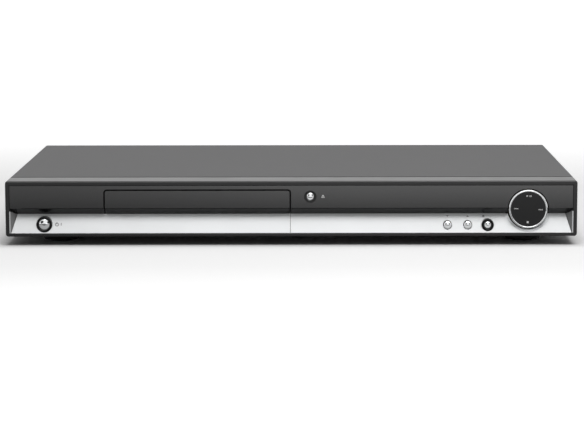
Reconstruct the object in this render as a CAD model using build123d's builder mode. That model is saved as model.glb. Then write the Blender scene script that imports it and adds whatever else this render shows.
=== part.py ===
from build123d import *
from math import asin, atan2, cos, degrees, pi, radians, sin, tan
import os

# A slim, full-width DVD recorder: a folded steel case behind a moulded front,
# with the disc loader, its drive train and the boards inside.
# Millimetres. X runs to the right of someone facing the front, Y to the back,
# Z up. The origin is under the middle of the recorder, on the surface it stands on.

os.makedirs("parts", exist_ok=True)

# Case
case_width = 430.0
case_depth = 262.0
case_top = 49.0
foot_height = 7.0
cover_sheet = 0.8
chassis_sheet = 1.0
corner_radius = 2.0
edge_radius = 1.2
cover_lift = 0.6
jack_reach = 7.0
rear_inset = 1.5

# Moulded front
bezel_depth = 27.5
bezel_wall = 2.2
cover_seat = 3.0
skin = 2.6
side_frame = 3.0
lens_top = 45.4
brow_z = 28.3
valley_z = 23.4
valley_depth = 7.0
sill_z = 9.6
cheek_splay = 4.2
cheek_liner = 0.8
cheek_liner_top = 26.1
cheek_seam = 0.4
cheek_seam_deep = 1.0
groove = 0.4
trim_seam_gap = 0.5
trim_seam = 0.3

# Tray door and its opening
door_inset = 144.35
door_width = 138.7
door_top = 41.6
door_gap = 0.8
door_sill_gap = 0.5
door_corner = 1.5
door_pad_width = 120.0
door_pad_low = 29.0
door_pad_high = 38.0
tray_front_depth = 5.0

# Controls on the front
power_inset = 28.93
power_z = 16.03
power_ring_radius = 5.95
power_cap_radius = 4.1
record_inset = 67.18
record_z = 15.24
record_ring_radius = 4.6
record_cap_radius = 2.8
program_insets = (97.42, 82.22)
program_z = 15.18
program_radius = 2.85
program_gap = 0.5
program_face_depth = 1.5
ring_face_depth = 0.8
ring_gap = 0.2
eject_gap = 15.56
eject_z = 37.09
eject_recess_radius = 4.7
eject_radius = 3.0
eject_face_depth = 0.6
dome_rise = 0.9
dome_turn = 45.0
dome_shoulder = 0.6
button_travel = 0.8
button_spare = 0.2
stem_share = 0.6
fit = 0.05
seat_gap = 0.3

# Four-way dial
dial_inset = 36.9
dial_z = 27.5
dial_radius = 14.55
dial_proud = 1.0
dial_rim = 1.35
dial_gap = 0.95
dial_lip = 1.3
dial_lip_high = 0.45
dial_back_depth = 13.5
dial_face_thick = 3.0
dial_floor_thick = 2.0
dial_pivot_depth = 16.5
dial_pin_radius = 1.2
dial_hub_half = 2.2
dial_pad_ear = 3.6
dial_frame_ear = 5.5
dial_ear_thick = 2.0
dial_ear_half = 2.4
dial_switch_radius = 11.0
dial_switch_gap = 0.6

# Front boards, their switches and the display
board_depth = 22.0
board_thick = 1.6
board_low = 12.0
board_high = 45.0
front_board_inset = 9.0
front_board_gap = 9.3
left_board_width = 46.0
switch_size = 6.0
switch_body = 3.5
plunger_radius = 1.75
plunger_length = 1.0
display_gap = 31.74
display_inset = 71.0
display_z = (32.0, 43.0)
display_margin = 1.5
display_thick = 6.0
display_leg = 4.0
boss_radius = 2.5
boss_high = 41.5
boss_low = 14.5
boss_power_left = 13.0
boss_power_right = 19.0
boss_eject_gap = 13.74
boss_program_gap = 27.2
boss_dial_left = 25.9
boss_dial_right = 23.1

# Feet
foot_top_radius = 15.0
foot_tip_radius = 13.0
foot_lip = 0.9
pad_radius = 9.5
pad_sink = 1.2
front_foot_inset = 37.0
rear_foot_inset = 30.0
foot_side_inset = 38.0

# Case sheet details
side_flange = 12.0
front_flange = 9.0
vent_slot = (2.4, 12.0)
vent_pitch = 7.0
vent_count = 14
vent_rows = (18.0, 34.0)
vent_depth = 164.0
floor_vent_slot = (3.0, 24.0)
floor_vent_pitch = 8.0
floor_vent_count = 8
screw_radius = 1.5
screw_head_radius = 3.0
screw_head_high = 1.8
rear_screw_z = 44.6
rear_screw_left = 19.0
rear_screw_middle = 50.65
rear_screw_right = 10.0
side_screw_inset = 44.0
side_screw_z = 14.0

# Loader frame
frame_front = 18.0
frame_length = 186.0
frame_side = 10.0
frame_wall = 3.5
frame_low = 10.0
frame_floor = 2.0
frame_top = 40.0
shelf_length = 30.9
shelf_wall = 1.5
shelf_z = (19.0, 21.0)
frame_rear_high = 30.0
lug_reach = 8.0
lug_width = 12.0
lug_spots = (16.0, 168.0)

# Disc tray
disc_depth = 80.0
disc_radius = 60.5
small_disc_radius = 40.5
disc_step = 1.8
small_disc_step = 0.8
tray_margin = 3.5
tray_low = 32.4
tray_top = 37.0
tray_rear_depth = 196.0
tray_travel = 142.0
tray_slot_half = 23.0
tray_rib_insets = (4.0, 2.0)
tray_rib_low = 29.0
tray_front_wall = 3.0
tongue_reach = 2.0
tongue_z = (33.0, 35.0)
tongue_start = 24.0
rail_gap = 0.3
rail_side_gap = 0.4
rail_lip = 1.1
rail_tab = 22.0
rail_tab_count = 4
finger_radius = 9.0

# Gear train
rack_module = 1.0
rack_teeth = 49
rack_line = 47.0
rack_back = 3.0
rack_low = 28.5
pinion_teeth = 16
wheel_module = 0.8
wheel_teeth = 36
wheel_pinion_teeth = 14
gear_low = 22.5
wheel_thick = 3.5
pinion_top = 31.5
gear_depth = 33.5
gear_pin_radius = 2.0
gear_pin_top = 31.9
gear_boss_radius = 4.0
tooth_addendum = 0.75
tooth_dedendum = 1.1
tooth_play = 0.22
pressure_angle = 20.0
pulley_radius = 9.5
pulley_z = (27.5, 30.0)
motor_pulley_radius = 3.2
motor_pulley_x = -30.0
belt_thick = 1.2
belt_groove_gap = 0.1
motor_radius = 11.5
motor_flat = 8.5
motor_z = (12.0, 26.6)
motor_shaft_radius = 1.0

# Traverse deck that lifts to the disc, and the cam slider that lifts it
deck_half = 42.0
deck_z = (20.5, 22.5)
deck_front_depth = 53.7
deck_rear_depth = 182.0
deck_pivot_depth = 178.0
deck_pin_radius = 2.0
deck_pin_reach = 5.0
post_gap = 0.4
post_thick = 4.0
post_half = 4.0
deck_drop = 6.0
cam_travel = 18.0
cam_thick = 4.0
cam_gap = 0.5
cam_low = 12.3
cam_top = 25.0
cam_x = (-48.0, 30.0)
cam_pin_radius = 1.5
cam_pin_x = (-22.0, 22.0)
cam_slot_gap = 0.35
cam_slot_run = 2.0
deck_window_half = 18.0
deck_window_depth = (98.0, 152.0)

# Spindle, clamp and pick-up
spindle_radius = 13.0
spindle_high = 6.0
spindle_shaft_radius = 1.0
turntable_radius = 14.5
turntable_thick = 2.2
turntable_neck = 5.0
disc_lift = 1.6
cone_radius = 7.4
cone_tip_radius = 6.6
cone_high = 1.3
disc_thick = 1.2
puck_radius = 13.6
puck_flange = 17.0
puck_flange_thick = 1.7
puck_bore = 8.2
puck_bore_deep = 1.4
bridge_thick = 1.0
bridge_half = 24.0
bridge_hole = 14.0
bridge_bead = 1.2
rod_x = 27.0
rod_z = 25.6
rod_radius = 1.5
rod_depth = (88.0, 172.0)
rod_block = 6.0
rod_block_thick = 5.0
sled_half = 20.0
sled_depth = (94.5, 116.5)
sled_z = (24.0, 31.0)
sled_arm_depth = (98.0, 113.0)
lens_depth = 105.0
lens_radius = 2.6
turret_radius = 6.0
turret_top = 33.2
lens_rise = 0.7
screw_x = 34.5
screw_rod_radius = 1.5
screw_front_depth = 88.0
sled_motor_radius = 5.5
sled_motor_depth = (154.0, 166.5)
sled_motor_flange = 1.3
nut_length = 6.0

# Boards and what stands on them
standoff_radius = 3.5
board_seat = 14.0
board_inset = 7.0
main_board_gap = 14.65
main_board_length = 154.0
main_board_rear = 1.5
power_board_gap = 12.35
power_board_front = 44.0
power_board_rear = 15.5
standoff_inset = 6.0
standoff_socket_gap = 5.0
chip_half = 14.0
chip_high = 2.0
chip_inset = 105.0
chip_rear = 105.5
sink_base = 2.5
sink_high = 14.0
sink_fins = 7
fin_thick = 1.2
transformer_shift = (0.5, 10.0)
transformer_size = (34.0, 30.0, 25.0)
winding_radius = 9.5
core_leg = 7.0
big_can = (11.0, 26.0)
big_can_spot = (22.0, 60.0)
power_can = (6.5, 18.0)
power_can_spots = ((22.0, 63.5), (40.0, 63.5))
small_can = (5.0, 16.0)
small_can_spot = (40.0, 45.5)
board_can = (5.0, 12.0)
board_can_spots = ((22.0, 65.5), (36.0, 65.5))
tuner_insets = (43.0, 8.0)
tuner_length = 55.5
tuner_leg_inset = 12.0
tuner_z = (17.8, 43.4)
tuner_leg = 2.0

# Sockets in the rear panel
jack_radius = 4.15
jack_bore = 3.1
jack_pin_bore = 1.6
jack_pitch = 14.0
jack_rows = (21.5, 35.5)
av_jack_inset = 175.0
video_jack_inset = 123.0
jack_columns = 3
jack_block_deep = 12.0
jack_block_margin = 6.5
jack_collar = 5.6
svideo_inset = 74.0
svideo_radius = 6.6
svideo_z = 34.0
optical_inset = 57.0
optical_z = 21.0
optical_half = 5.0
optical_rim = 1.0
antenna_inset = 25.0
antenna_radius = 4.7
antenna_hex = 6.4
antenna_rows = (22.0, 36.0)
inlet_inset = 33.0
inlet_z = 26.0
inlet_flange = (26.0, 16.0)
inlet_body = (20.0, 12.0)
inlet_cavity = (15.6, 8.2)
inlet_deep = 18.0
inlet_cavity_deep = 12.0
inlet_flange_thick = 1.5
inlet_pin_pitch = 8.6
inlet_pin_radius = 1.18
inlet_pin_back = 22.0
panel_fit = 0.3
fan_shift = -34.35
fan_z = 28.0
fan_half = 17.5
fan_deep = 10.0
fan_bore = 16.2
fan_hub = 7.5
fan_blade_reach = 15.6
fan_blades = 7
fan_blade_thick = 1.0
fan_blade_tilt = 35.0
fan_seat_radius = 6.0
fan_strut = 2.0
fan_strut_turns = (30, 150, 270)
fan_hole_spot = 14.0
grille_rings = (5.0, 8.5, 12.0, 15.5)
grille_slot = 1.9
grille_bar_turns = (0, 60, 120)

# Worked-out places
overall_depth = dial_proud + case_depth + jack_reach
front_y = dial_proud - overall_depth / 2
rear_y = front_y + case_depth
half_width = case_width / 2
panel_back = rear_y - rear_inset
panel_front = panel_back - chassis_sheet
jack_tip = rear_y + jack_reach
mouth_half = half_width - side_frame
door_x = door_inset - half_width
door_right = door_x + door_width / 2
power_x = power_inset - half_width
record_x = half_width - record_inset
program_x = tuple(half_width - inset for inset in program_insets)
eject_x = door_right + eject_gap
trim_seam_x = door_right + trim_seam_gap
dial_x = half_width - dial_inset
right_board = (door_right + front_board_gap, half_width - front_board_inset)
left_board = (front_board_inset - half_width, front_board_inset - half_width + left_board_width)
display_x = (eject_x + display_gap, half_width - display_inset)
boss_spots = ((eject_x + boss_eject_gap, boss_high), (eject_x + boss_eject_gap, boss_low),
              (program_x[0] - boss_program_gap, boss_low), (dial_x - boss_dial_left, boss_high),
              (dial_x + boss_dial_right, boss_high), (dial_x + boss_dial_right, boss_low),
              (power_x - boss_power_left, boss_high), (power_x + boss_power_right, boss_high),
              (power_x + boss_power_right, boss_low))
vent_y = front_y + vent_depth
rear_screw_x = (rear_screw_left - half_width, door_x + rear_screw_middle, half_width - rear_screw_right)
side_screw_y = rear_y - side_screw_inset
tray_half = disc_radius + tray_margin
tray_rib_x = tuple(tray_half - inset for inset in tray_rib_insets)
frame_half = tray_half + frame_side
disc_y = front_y + disc_depth
tray_rear = front_y + tray_rear_depth
gear_y = front_y + gear_depth
deck_front = front_y + deck_front_depth
deck_rear = front_y + deck_rear_depth
deck_pivot_y = front_y + deck_pivot_depth
deck_window_y = tuple(front_y + depth for depth in deck_window_depth)
rod_y = tuple(front_y + depth for depth in rod_depth)
sled_y = tuple(front_y + depth for depth in sled_depth)
sled_arm = tuple(front_y + depth for depth in sled_arm_depth)
lens_y = front_y + lens_depth
screw_front = front_y + screw_front_depth
sled_motor_y = tuple(front_y + depth for depth in sled_motor_depth)
board_rear = panel_front - main_board_rear
main_board = ((door_x + frame_half + main_board_gap, half_width - board_inset),
              (board_rear - main_board_length, board_rear))
power_board = ((board_inset - half_width, door_x - frame_half - power_board_gap),
               (front_y + power_board_front, panel_front - power_board_rear))
chip_spot = (half_width - chip_inset, panel_front - chip_rear)
transformer_spot = ((power_board[0][0] + power_board[0][1]) / 2 + transformer_shift[0],
                    (power_board[1][0] + power_board[1][1]) / 2 + transformer_shift[1])
tuner_x = tuple(half_width - inset for inset in tuner_insets)
tuner_y = panel_front - tuner_length
av_jack_x = half_width - av_jack_inset
video_jack_x = half_width - video_jack_inset
svideo_x = half_width - svideo_inset
optical_x = half_width - optical_inset
antenna_x = half_width - antenna_inset
inlet_x = inlet_inset - half_width
fan_x = door_x + fan_shift
floor_top = foot_height + chassis_sheet
cover_inside = half_width - cover_sheet
chassis_front = front_y + bezel_depth
frame_y = (front_y + frame_front, front_y + frame_front + frame_length)
gear_x = rack_line - rack_module * pinion_teeth / 2
pulley_x = gear_x - wheel_module * (wheel_teeth + wheel_pinion_teeth) / 2
gear_boss_top = gear_low - seat_gap
cam_y = (deck_front - cam_gap - cam_thick, deck_front - cam_gap)
pin_y = (cam_y[0] + seat_gap, deck_front)
deck_pivot_z = (deck_z[0] + deck_z[1]) / 2
deck_swing = degrees(asin(deck_drop / (deck_pivot_y - (pin_y[0] + pin_y[1]) / 2)))
spindle_top = deck_z[1] + spindle_high
disc_seat = tray_top - disc_step - small_disc_step + disc_lift
puck_low = disc_seat + disc_thick + seat_gap
board_y = front_y + board_depth
switch_face = board_depth - switch_body - plunger_length
stem_back = switch_face - button_travel - button_spare


def back(depth):
    """Y of a point this far behind the plane of the front."""
    return front_y + depth


def mid(span):
    """Middle of a (low, high) span."""
    return (span[0] + span[1]) / 2


def size(span):
    """Length of a (low, high) span."""
    return abs(span[1] - span[0])


def both(centre, half):
    """The (low, high) span this far to both sides of a centre."""
    return (centre - half, centre + half)


def shifted(span, amount):
    """A span moved by an amount."""
    return (span[0] + amount, span[1] + amount)


def drive(span):
    """X span given from the middle of the loader."""
    return tuple(sorted((door_x + span[0], door_x + span[1])))


def slope_depth(z):
    """Depth of the silver slope at a height."""
    return valley_depth * (z - sill_z) / (valley_z - sill_z)


def brow_depth(z):
    """Depth of the dark undercut at a height."""
    return valley_depth * (brow_z - z) / (brow_z - valley_z)


def block(x, y, z, mode=Mode.ADD):
    """A box between three (low, high) spans, in the open part."""
    with Locations((mid(x), mid(y), mid(z))):
        Box(size(x), size(y), size(z), mode=mode)


def round_x(x, y, z, radius, mode=Mode.ADD):
    """A cylinder that runs along X."""
    with Locations(Location((mid(x), y, z), (0, 90, 0))):
        Cylinder(radius, size(x), mode=mode)


def round_y(x, y, z, radius, mode=Mode.ADD):
    """A cylinder that runs along Y."""
    with Locations(Location((x, mid(y), z), (90, 0, 0))):
        Cylinder(radius, size(y), mode=mode)


def round_z(x, y, z, radius, mode=Mode.ADD):
    """A cylinder that stands along Z."""
    with Locations((x, y, mid(z))):
        Cylinder(radius, size(z), mode=mode)


def bar(points, x, mode=Mode.ADD):
    """A bar along X with an outline of (y, z) points."""
    with BuildSketch(Plane.YZ.offset(x[0])) as outline:
        with BuildLine():
            Polyline(*points, close=True)
        make_face()
    extrude(outline.sketch, amount=size(x), mode=mode)


def slab(points, z, mode=Mode.ADD):
    """A plate with an outline of (x, y) points between two heights."""
    with BuildSketch(Plane.XY.offset(z[0])) as outline:
        with BuildLine():
            Polyline(*points, close=True)
        make_face()
    extrude(outline.sketch, amount=size(z), mode=mode)


def turned(points, x, y, mode=Mode.ADD):
    """A body turned about the vertical through (x, y), from (radius, z) points."""
    with BuildSketch(Plane(origin=(x, y, 0), x_dir=(1, 0, 0), z_dir=(0, -1, 0))) as outline:
        with BuildLine():
            Polyline(*points, close=True)
        make_face()
    revolve(outline.sketch, axis=Axis((x, y, 0), (0, 0, 1)), mode=mode)


def turned_y(points, x, z, mode=Mode.ADD):
    """A body turned about the line along Y through (x, z), from (radius, y) points."""
    plane = Plane(origin=(x, 0, z), x_dir=(1, 0, 0), z_dir=(0, 0, 1))
    with BuildSketch(plane) as outline:
        with BuildLine():
            Polyline(*points, close=True)
        make_face()
    revolve(outline.sketch, axis=Axis((x, 0, z), (0, 1, 0)), mode=mode)


def keep(piece, name):
    """Label a finished piece and write its file."""
    piece.part.label = name
    export_step(piece.part, f"parts/{name}.step")


def mouth_edges(mode, inset=0):
    """Keep or cut what lies between the splayed cheeks of the front, moved in by the inset."""
    reach = valley_depth + skin + bezel_wall
    lean = cheek_splay / valley_depth
    near = mouth_half - inset + lean * reach
    far = mouth_half - inset - lean * reach
    plan = ((-near, back(-reach)), (near, back(-reach)), (far, back(reach)), (-far, back(reach)))
    slab(plan, (0, case_top), mode)


def control_holes(mode, extra):
    """Holes for the controls that come through the silver slope, with room round each."""
    through = (back(-dial_proud), back(bezel_depth))
    round_y(power_x, through, power_z, power_ring_radius + extra, mode)
    round_y(record_x, through, record_z, record_ring_radius + extra, mode)
    for x in program_x:
        round_y(x, through, program_z, program_radius + program_gap, mode)
    round_y(dial_x, through, dial_z, dial_radius + dial_gap, mode)


# The moulded front


def make_front_bezel():
    """Black moulding with a hollow back, a long valley in its face and the door opening."""
    behind = skin + bezel_wall
    inside_top = case_top - bezel_wall
    inside_low = foot_height + bezel_wall
    with BuildPart() as valley:
        bar(((back(-skin), lens_top + groove), (back(skin), lens_top + groove), (back(skin), brow_z),
             (back(valley_depth + skin), valley_z), (back(skin), sill_z), (back(-skin), sill_z)),
            both(0, half_width))
        mouth_edges(Mode.INTERSECT)
    with BuildPart() as bezel:
        block(both(0, half_width), (front_y, back(bezel_depth)), (foot_height, case_top))
        fillet(bezel.edges().filter_by(Axis.Y), radius=corner_radius)
        fillet(bezel.faces().sort_by(Axis.Y)[0].edges(), radius=edge_radius)
        block(both(0, half_width), (back(bezel_depth - cover_seat), back(bezel_depth)),
              (case_top - cover_sheet, case_top), Mode.SUBTRACT)
        add(valley.part, mode=Mode.SUBTRACT)
        bar(((back(behind), inside_top), (back(behind), brow_z), (back(valley_depth + behind), valley_z),
             (back(behind), sill_z), (back(behind), inside_low), (back(bezel_depth + skin), inside_low),
             (back(bezel_depth + skin), inside_top)), both(0, half_width - bezel_wall), Mode.SUBTRACT)
        for x, z in boss_spots:
            front = slope_depth(z + boss_radius) + skin if z < valley_z else skin
            round_y(x, (back(front + bezel_wall / 2), board_y), z, boss_radius)
        block(both(door_x, door_width / 2 + door_gap), (front_y, back(bezel_depth)),
              (valley_z + ring_gap, door_top + door_gap), Mode.SUBTRACT)
        block(display_x, (front_y, back(skin + display_thick)), display_z, Mode.SUBTRACT)
        round_y(eject_x, (front_y, back(bezel_depth)), eject_z, eject_radius + ring_gap, Mode.SUBTRACT)
        control_holes(Mode.SUBTRACT, fit)
    keep(bezel, "front_bezel")


def make_front_lens():
    """Smoked upper panel that turns under at the brow, cut out round the tray door."""
    top = lens_top
    with BuildPart() as lens:
        bar(((front_y, top), (front_y, brow_z), (back(valley_depth), valley_z),
             (back(valley_depth + skin), valley_z), (back(skin), brow_z), (back(skin), top)),
            both(0, mouth_half - groove))
        mouth_edges(Mode.INTERSECT)
        with BuildSketch(Plane.XZ.offset(-back(bezel_depth))) as opening:
            with Locations((door_x, mid((sill_z, door_top + door_gap)))):
                RectangleRounded(door_width + 2 * door_gap, door_top + door_gap - sill_z, door_corner)
        extrude(opening.sketch, amount=bezel_depth + dial_proud, mode=Mode.SUBTRACT)
        round_y(eject_x, (front_y, back(skin)), eject_z, eject_recess_radius, Mode.SUBTRACT)
        round_y(dial_x, (front_y, back(bezel_depth)), dial_z, dial_radius + dial_gap, Mode.SUBTRACT)
    keep(lens, "front_lens")


def slope_skin(x, proud, deep):
    """The layer of the silver slope from this far in front of its face to this far behind it."""
    bar(((back(-proud), sill_z), (back(valley_depth - proud), valley_z), (back(valley_depth + deep), valley_z),
         (back(deep), sill_z)), x)


def make_cheek_liner(x):
    """The trim's upright end, which lines the cheek of the front."""
    with BuildPart(mode=Mode.PRIVATE) as liner:
        bar(((front_y, sill_z), (front_y, cheek_liner_top), (back(valley_depth), valley_z),
             (back(valley_depth + skin), valley_z), (back(skin), sill_z)), x)
        mouth_edges(Mode.INTERSECT)
        mouth_edges(Mode.SUBTRACT, cheek_liner)
    return liner.part


def make_cheek_seam(x):
    """The shallow seam between the slope and its upright end."""
    with BuildPart(mode=Mode.PRIVATE) as seam:
        slope_skin(x, 0, cheek_seam_deep)
        mouth_edges(Mode.INTERSECT, cheek_liner)
        mouth_edges(Mode.SUBTRACT, cheek_liner + cheek_seam)
    return seam.part


def make_dial_lip(x):
    """The raised lip of the slope that follows the dial's opening."""
    through = (back(-dial_proud), back(bezel_depth))
    with BuildPart(mode=Mode.PRIVATE) as lip:
        slope_skin(x, dial_lip_high, skin)
        round_y(dial_x, through, dial_z, dial_radius + dial_gap + dial_lip, Mode.INTERSECT)
        round_y(dial_x, through, dial_z, dial_radius + dial_gap, Mode.SUBTRACT)
    return lip.part


def make_lower_trim(name, x):
    """One length of the silver slope under the valley."""
    liner = make_cheek_liner(x)
    seam = make_cheek_seam(x)
    lip = make_dial_lip(x) if x[0] < dial_x < x[1] else None
    with BuildPart() as trim:
        slope_skin(x, 0, skin)
        mouth_edges(Mode.INTERSECT)
        add(seam, mode=Mode.SUBTRACT)
        add(liner)
        if lip is not None:
            add(lip)
        control_holes(Mode.SUBTRACT, fit)
    keep(trim, name)


def make_control_ring(name, x, z, outer, inner):
    """Black collar round a button, with a rolled front edge."""
    face = back(ring_face_depth)
    rear = back(valley_depth + skin)
    edge = (outer - inner) / 3
    with BuildPart() as ring:
        turned_y(((inner, face + edge), (inner + edge, face), (outer - edge, face), (outer, face + edge),
                  (outer, rear), (inner, rear)), x, z)
    keep(ring, name)


def make_button(name, x, z, radius, face_depth):
    """Push cap with a domed front on a stem that reaches its switch."""
    face = back(face_depth)
    guide = back(valley_depth)
    stem = radius * stem_share
    with BuildPart() as button:
        with BuildSketch(Plane(origin=(x, 0, z), x_dir=(1, 0, 0), z_dir=(0, 0, 1))) as half:
            with BuildLine():
                ThreePointArc((0, face - dome_rise),
                              (radius * sin(radians(dome_turn)), face - dome_rise * dome_shoulder),
                              (radius, face))
                Polyline((radius, face), (radius, guide), (stem, guide), (stem, back(stem_back)),
                         (0, back(stem_back)), (0, face - dome_rise))
            make_face()
        revolve(half.sketch, axis=Axis((x, 0, z), (0, 1, 0)))
    keep(button, name)


def make_dial_ring():
    """Bright tube round the dial, with a rolled front edge."""
    inner = dial_radius - dial_rim
    edge = dial_rim / 3
    face = back(-dial_proud)
    rear = back(dial_back_depth)
    with BuildPart() as ring:
        turned_y(((inner, face + edge), (inner + edge, face), (dial_radius - edge, face),
                  (dial_radius, face + edge), (dial_radius, rear), (inner, rear)), dial_x, dial_z)
    keep(ring, "dial_ring")


def make_dial_pad():
    """Black dial face on a core, with two ears for the gimbal's upright pin."""
    inner = dial_radius - dial_rim
    face = back(-dial_proud + dial_rim / 3)
    floor = back(dial_back_depth - dial_floor_thick)
    rear = back(dial_back_depth)
    pivot = back(dial_pivot_depth)
    with BuildPart() as pad:
        round_y(dial_x, (face, face + dial_face_thick), dial_z, inner)
        round_y(dial_x, (face, rear), dial_z, inner / 2)
        round_y(dial_x, (floor, rear), dial_z, inner)
        for side in (-1, 1):
            ear = sorted((dial_z + side * dial_pad_ear, dial_z + side * (dial_pad_ear + dial_ear_thick)))
            block(both(dial_x, dial_ear_half), (rear, pivot + dial_ear_half), ear)
        round_z(dial_x, pivot, both(dial_z, dial_radius), dial_pin_radius + fit, Mode.SUBTRACT)
    keep(pad, "dial_pad")


def make_dial_gimbal():
    """Cross of two pins that lets the dial rock both ways."""
    pivot = back(dial_pivot_depth)
    with BuildPart() as gimbal:
        block(both(dial_x, dial_hub_half), both(pivot, dial_hub_half), both(dial_z, dial_hub_half))
        round_x(both(dial_x, dial_frame_ear + dial_ear_thick), pivot, dial_z, dial_pin_radius)
        round_z(dial_x, pivot, both(dial_z, dial_pad_ear + dial_ear_thick), dial_pin_radius)
    keep(gimbal, "dial_gimbal")


def make_dial_bracket():
    """Bracket on the front board that holds the gimbal's level pin."""
    pivot = back(dial_pivot_depth)
    foot = board_y - dial_ear_thick
    with BuildPart() as bracket:
        block(both(dial_x, dial_frame_ear + dial_ear_thick), (foot, board_y), both(dial_z, dial_ear_half))
        for side in (-1, 1):
            ear = sorted((dial_x + side * dial_frame_ear, dial_x + side * (dial_frame_ear + dial_ear_thick)))
            block(ear, (pivot - dial_ear_half + seat_gap, foot), both(dial_z, dial_ear_half))
        round_x(both(dial_x, dial_radius), pivot, dial_z, dial_pin_radius + fit, Mode.SUBTRACT)
    keep(bracket, "dial_bracket")


def switch_spots():
    """(x, z, depth of the plunger's tip) of every switch on the front boards."""
    spots = [(power_x, power_z, switch_face), (record_x, record_z, switch_face),
             (eject_x, eject_z, switch_face)]
    for x in program_x:
        spots.append((x, program_z, switch_face))
    for turn in range(4):
        angle = turn * pi / 2
        spots.append((dial_x + dial_switch_radius * cos(angle), dial_z + dial_switch_radius * sin(angle),
                      dial_back_depth + dial_switch_gap))
    return spots


def make_tact_switches():
    """Small square push switches soldered to the front boards."""
    with BuildPart() as switches:
        for x, z, tip in switch_spots():
            block(both(x, switch_size / 2), (back(tip + plunger_length), board_y), both(z, switch_size / 2))
            round_y(x, (back(tip), back(tip + plunger_length)), z, plunger_radius)
    keep(switches, "tact_switches")


def make_front_boards():
    """The long board behind the controls and the short one behind the power button."""
    with BuildPart() as boards:
        for x in (right_board, left_board):
            block(x, (board_y, board_y + board_thick), (board_low, board_high))
        for x, z in boss_spots:
            round_y(x, (board_y, board_y + board_thick), z, screw_radius, Mode.SUBTRACT)
    keep(boards, "front_boards")


def make_display_module():
    """Glass display tube on two legs that stand on the front board."""
    face = back(skin + bezel_wall)
    x = (display_x[0] - display_margin, display_x[1] + display_margin)
    z = (display_z[0] - display_margin, display_z[1] + display_margin)
    with BuildPart() as display:
        block(x, (face, face + display_thick), z)
        fillet(display.edges().filter_by(Axis.Y), radius=display_margin / 2)
        block((x[0], x[0] + display_leg), (face + display_thick, board_y), z)
        block((x[1] - display_leg, x[1]), (face + display_thick, board_y), z)
    keep(display, "display_module")


# The folded case


def rear_cutouts():
    """Openings in the rear panel, one for each socket that comes through it."""
    cut = Mode.SUBTRACT
    through = both(mid((panel_front, panel_back)), chassis_sheet)
    for x, z in jack_spots():
        round_y(x, through, z, jack_collar + panel_fit, cut)
    round_y(svideo_x, through, svideo_z, svideo_radius + panel_fit, cut)
    block(both(optical_x, optical_half + panel_fit), through, both(optical_z, optical_half + panel_fit), cut)
    for z in antenna_rows:
        round_y(antenna_x, through, z, antenna_radius + panel_fit, cut)
    block(both(inlet_x, inlet_body[0] / 2 + panel_fit), through,
          both(inlet_z, inlet_body[1] / 2 + panel_fit), cut)
    for x in rear_screw_x:
        round_y(x, through, rear_screw_z, screw_radius, cut)
    for x, z in fan_screw_spots():
        round_y(x, through, z, screw_radius, cut)


def fan_screw_spots():
    """The four fixing holes of the fan."""
    return [(fan_x + i * fan_hole_spot, fan_z + j * fan_hole_spot) for i in (-1, 1) for j in (-1, 1)]


def make_rear_panel():
    """Steel panel with the socket openings and a ring grille in front of the fan."""
    through = both(mid((panel_front, panel_back)), chassis_sheet)
    with BuildPart() as panel:
        block(both(0, cover_inside - chassis_sheet), (panel_front, panel_back),
              (floor_top, case_top - cover_sheet))
        rear_cutouts()
        with BuildPart(mode=Mode.PRIVATE) as rings:
            for radius in grille_rings:
                turned_y(((radius - grille_slot / 2, through[0]), (radius + grille_slot / 2, through[0]),
                          (radius + grille_slot / 2, through[1]), (radius - grille_slot / 2, through[1])),
                         fan_x, fan_z)
            for turn in grille_bar_turns:
                with Locations(Location((fan_x, mid(through), fan_z), (0, turn, 0))):
                    Box(2 * fan_half, size(through), grille_slot, mode=Mode.SUBTRACT)
        add(rings.part, mode=Mode.SUBTRACT)
    keep(panel, "rear_panel")


def foot_spots():
    """(x, y) of the four feet."""
    x = half_width - foot_side_inset
    rows = (front_y + front_foot_inset, rear_y - rear_foot_inset)
    return [(side * x, y) for side in (-1, 1) for y in rows]


def standoff_spots(board):
    """(x, y) of the four posts under a board, the rear ones in front of the sockets."""
    rear = min(board[1][1] - standoff_inset, panel_front - jack_block_deep - standoff_socket_gap)
    xs = (board[0][0] + standoff_inset, board[0][1] - standoff_inset)
    ys = (board[1][0] + standoff_inset, rear)
    return [(x, y) for x in xs for y in ys]


def lug_places():
    """(x, y) of the four lugs that hold the loader to the floor."""
    x = frame_half + lug_reach / 2
    return [(door_x + side * x, frame_y[0] + spot) for side in (-1, 1) for spot in lug_spots]


def make_bottom_chassis():
    """Folded steel floor with its side, front and rear flanges, posts and vent slots."""
    side = cover_inside
    drive_gap = both(door_x, frame_half + lug_reach + seat_gap)
    low = foot_height
    with BuildPart() as chassis:
        block(both(0, side), (chassis_front, panel_back), (low, floor_top))
        for x in ((-side, -side + chassis_sheet), (side - chassis_sheet, side)):
            block(x, (chassis_front, panel_back), (floor_top, floor_top + side_flange))
        block(both(0, side), (chassis_front, chassis_front + chassis_sheet),
              (floor_top, floor_top + front_flange))
        block(drive_gap, (chassis_front, chassis_front + chassis_sheet),
              (floor_top, floor_top + front_flange), Mode.SUBTRACT)
        for board in (main_board, power_board):
            for x, y in standoff_spots(board):
                round_z(x, y, (floor_top, board_seat), standoff_radius)
        for x, y in lug_places():
            round_z(x, y, (floor_top, frame_low), standoff_radius)
        for row in (mid(main_board[0]), mid(power_board[0])):
            with Locations((row, mid(main_board[1]), mid((low, floor_top)))):
                with GridLocations(floor_vent_pitch, 1, floor_vent_count // 2, 1):
                    Box(floor_vent_slot[0], floor_vent_slot[1], 2 * chassis_sheet, mode=Mode.SUBTRACT)
        for x in (-side, side):
            round_x(both(x, 2 * chassis_sheet), side_screw_y, side_screw_z, screw_radius, Mode.SUBTRACT)
    keep(chassis, "bottom_chassis")


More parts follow.
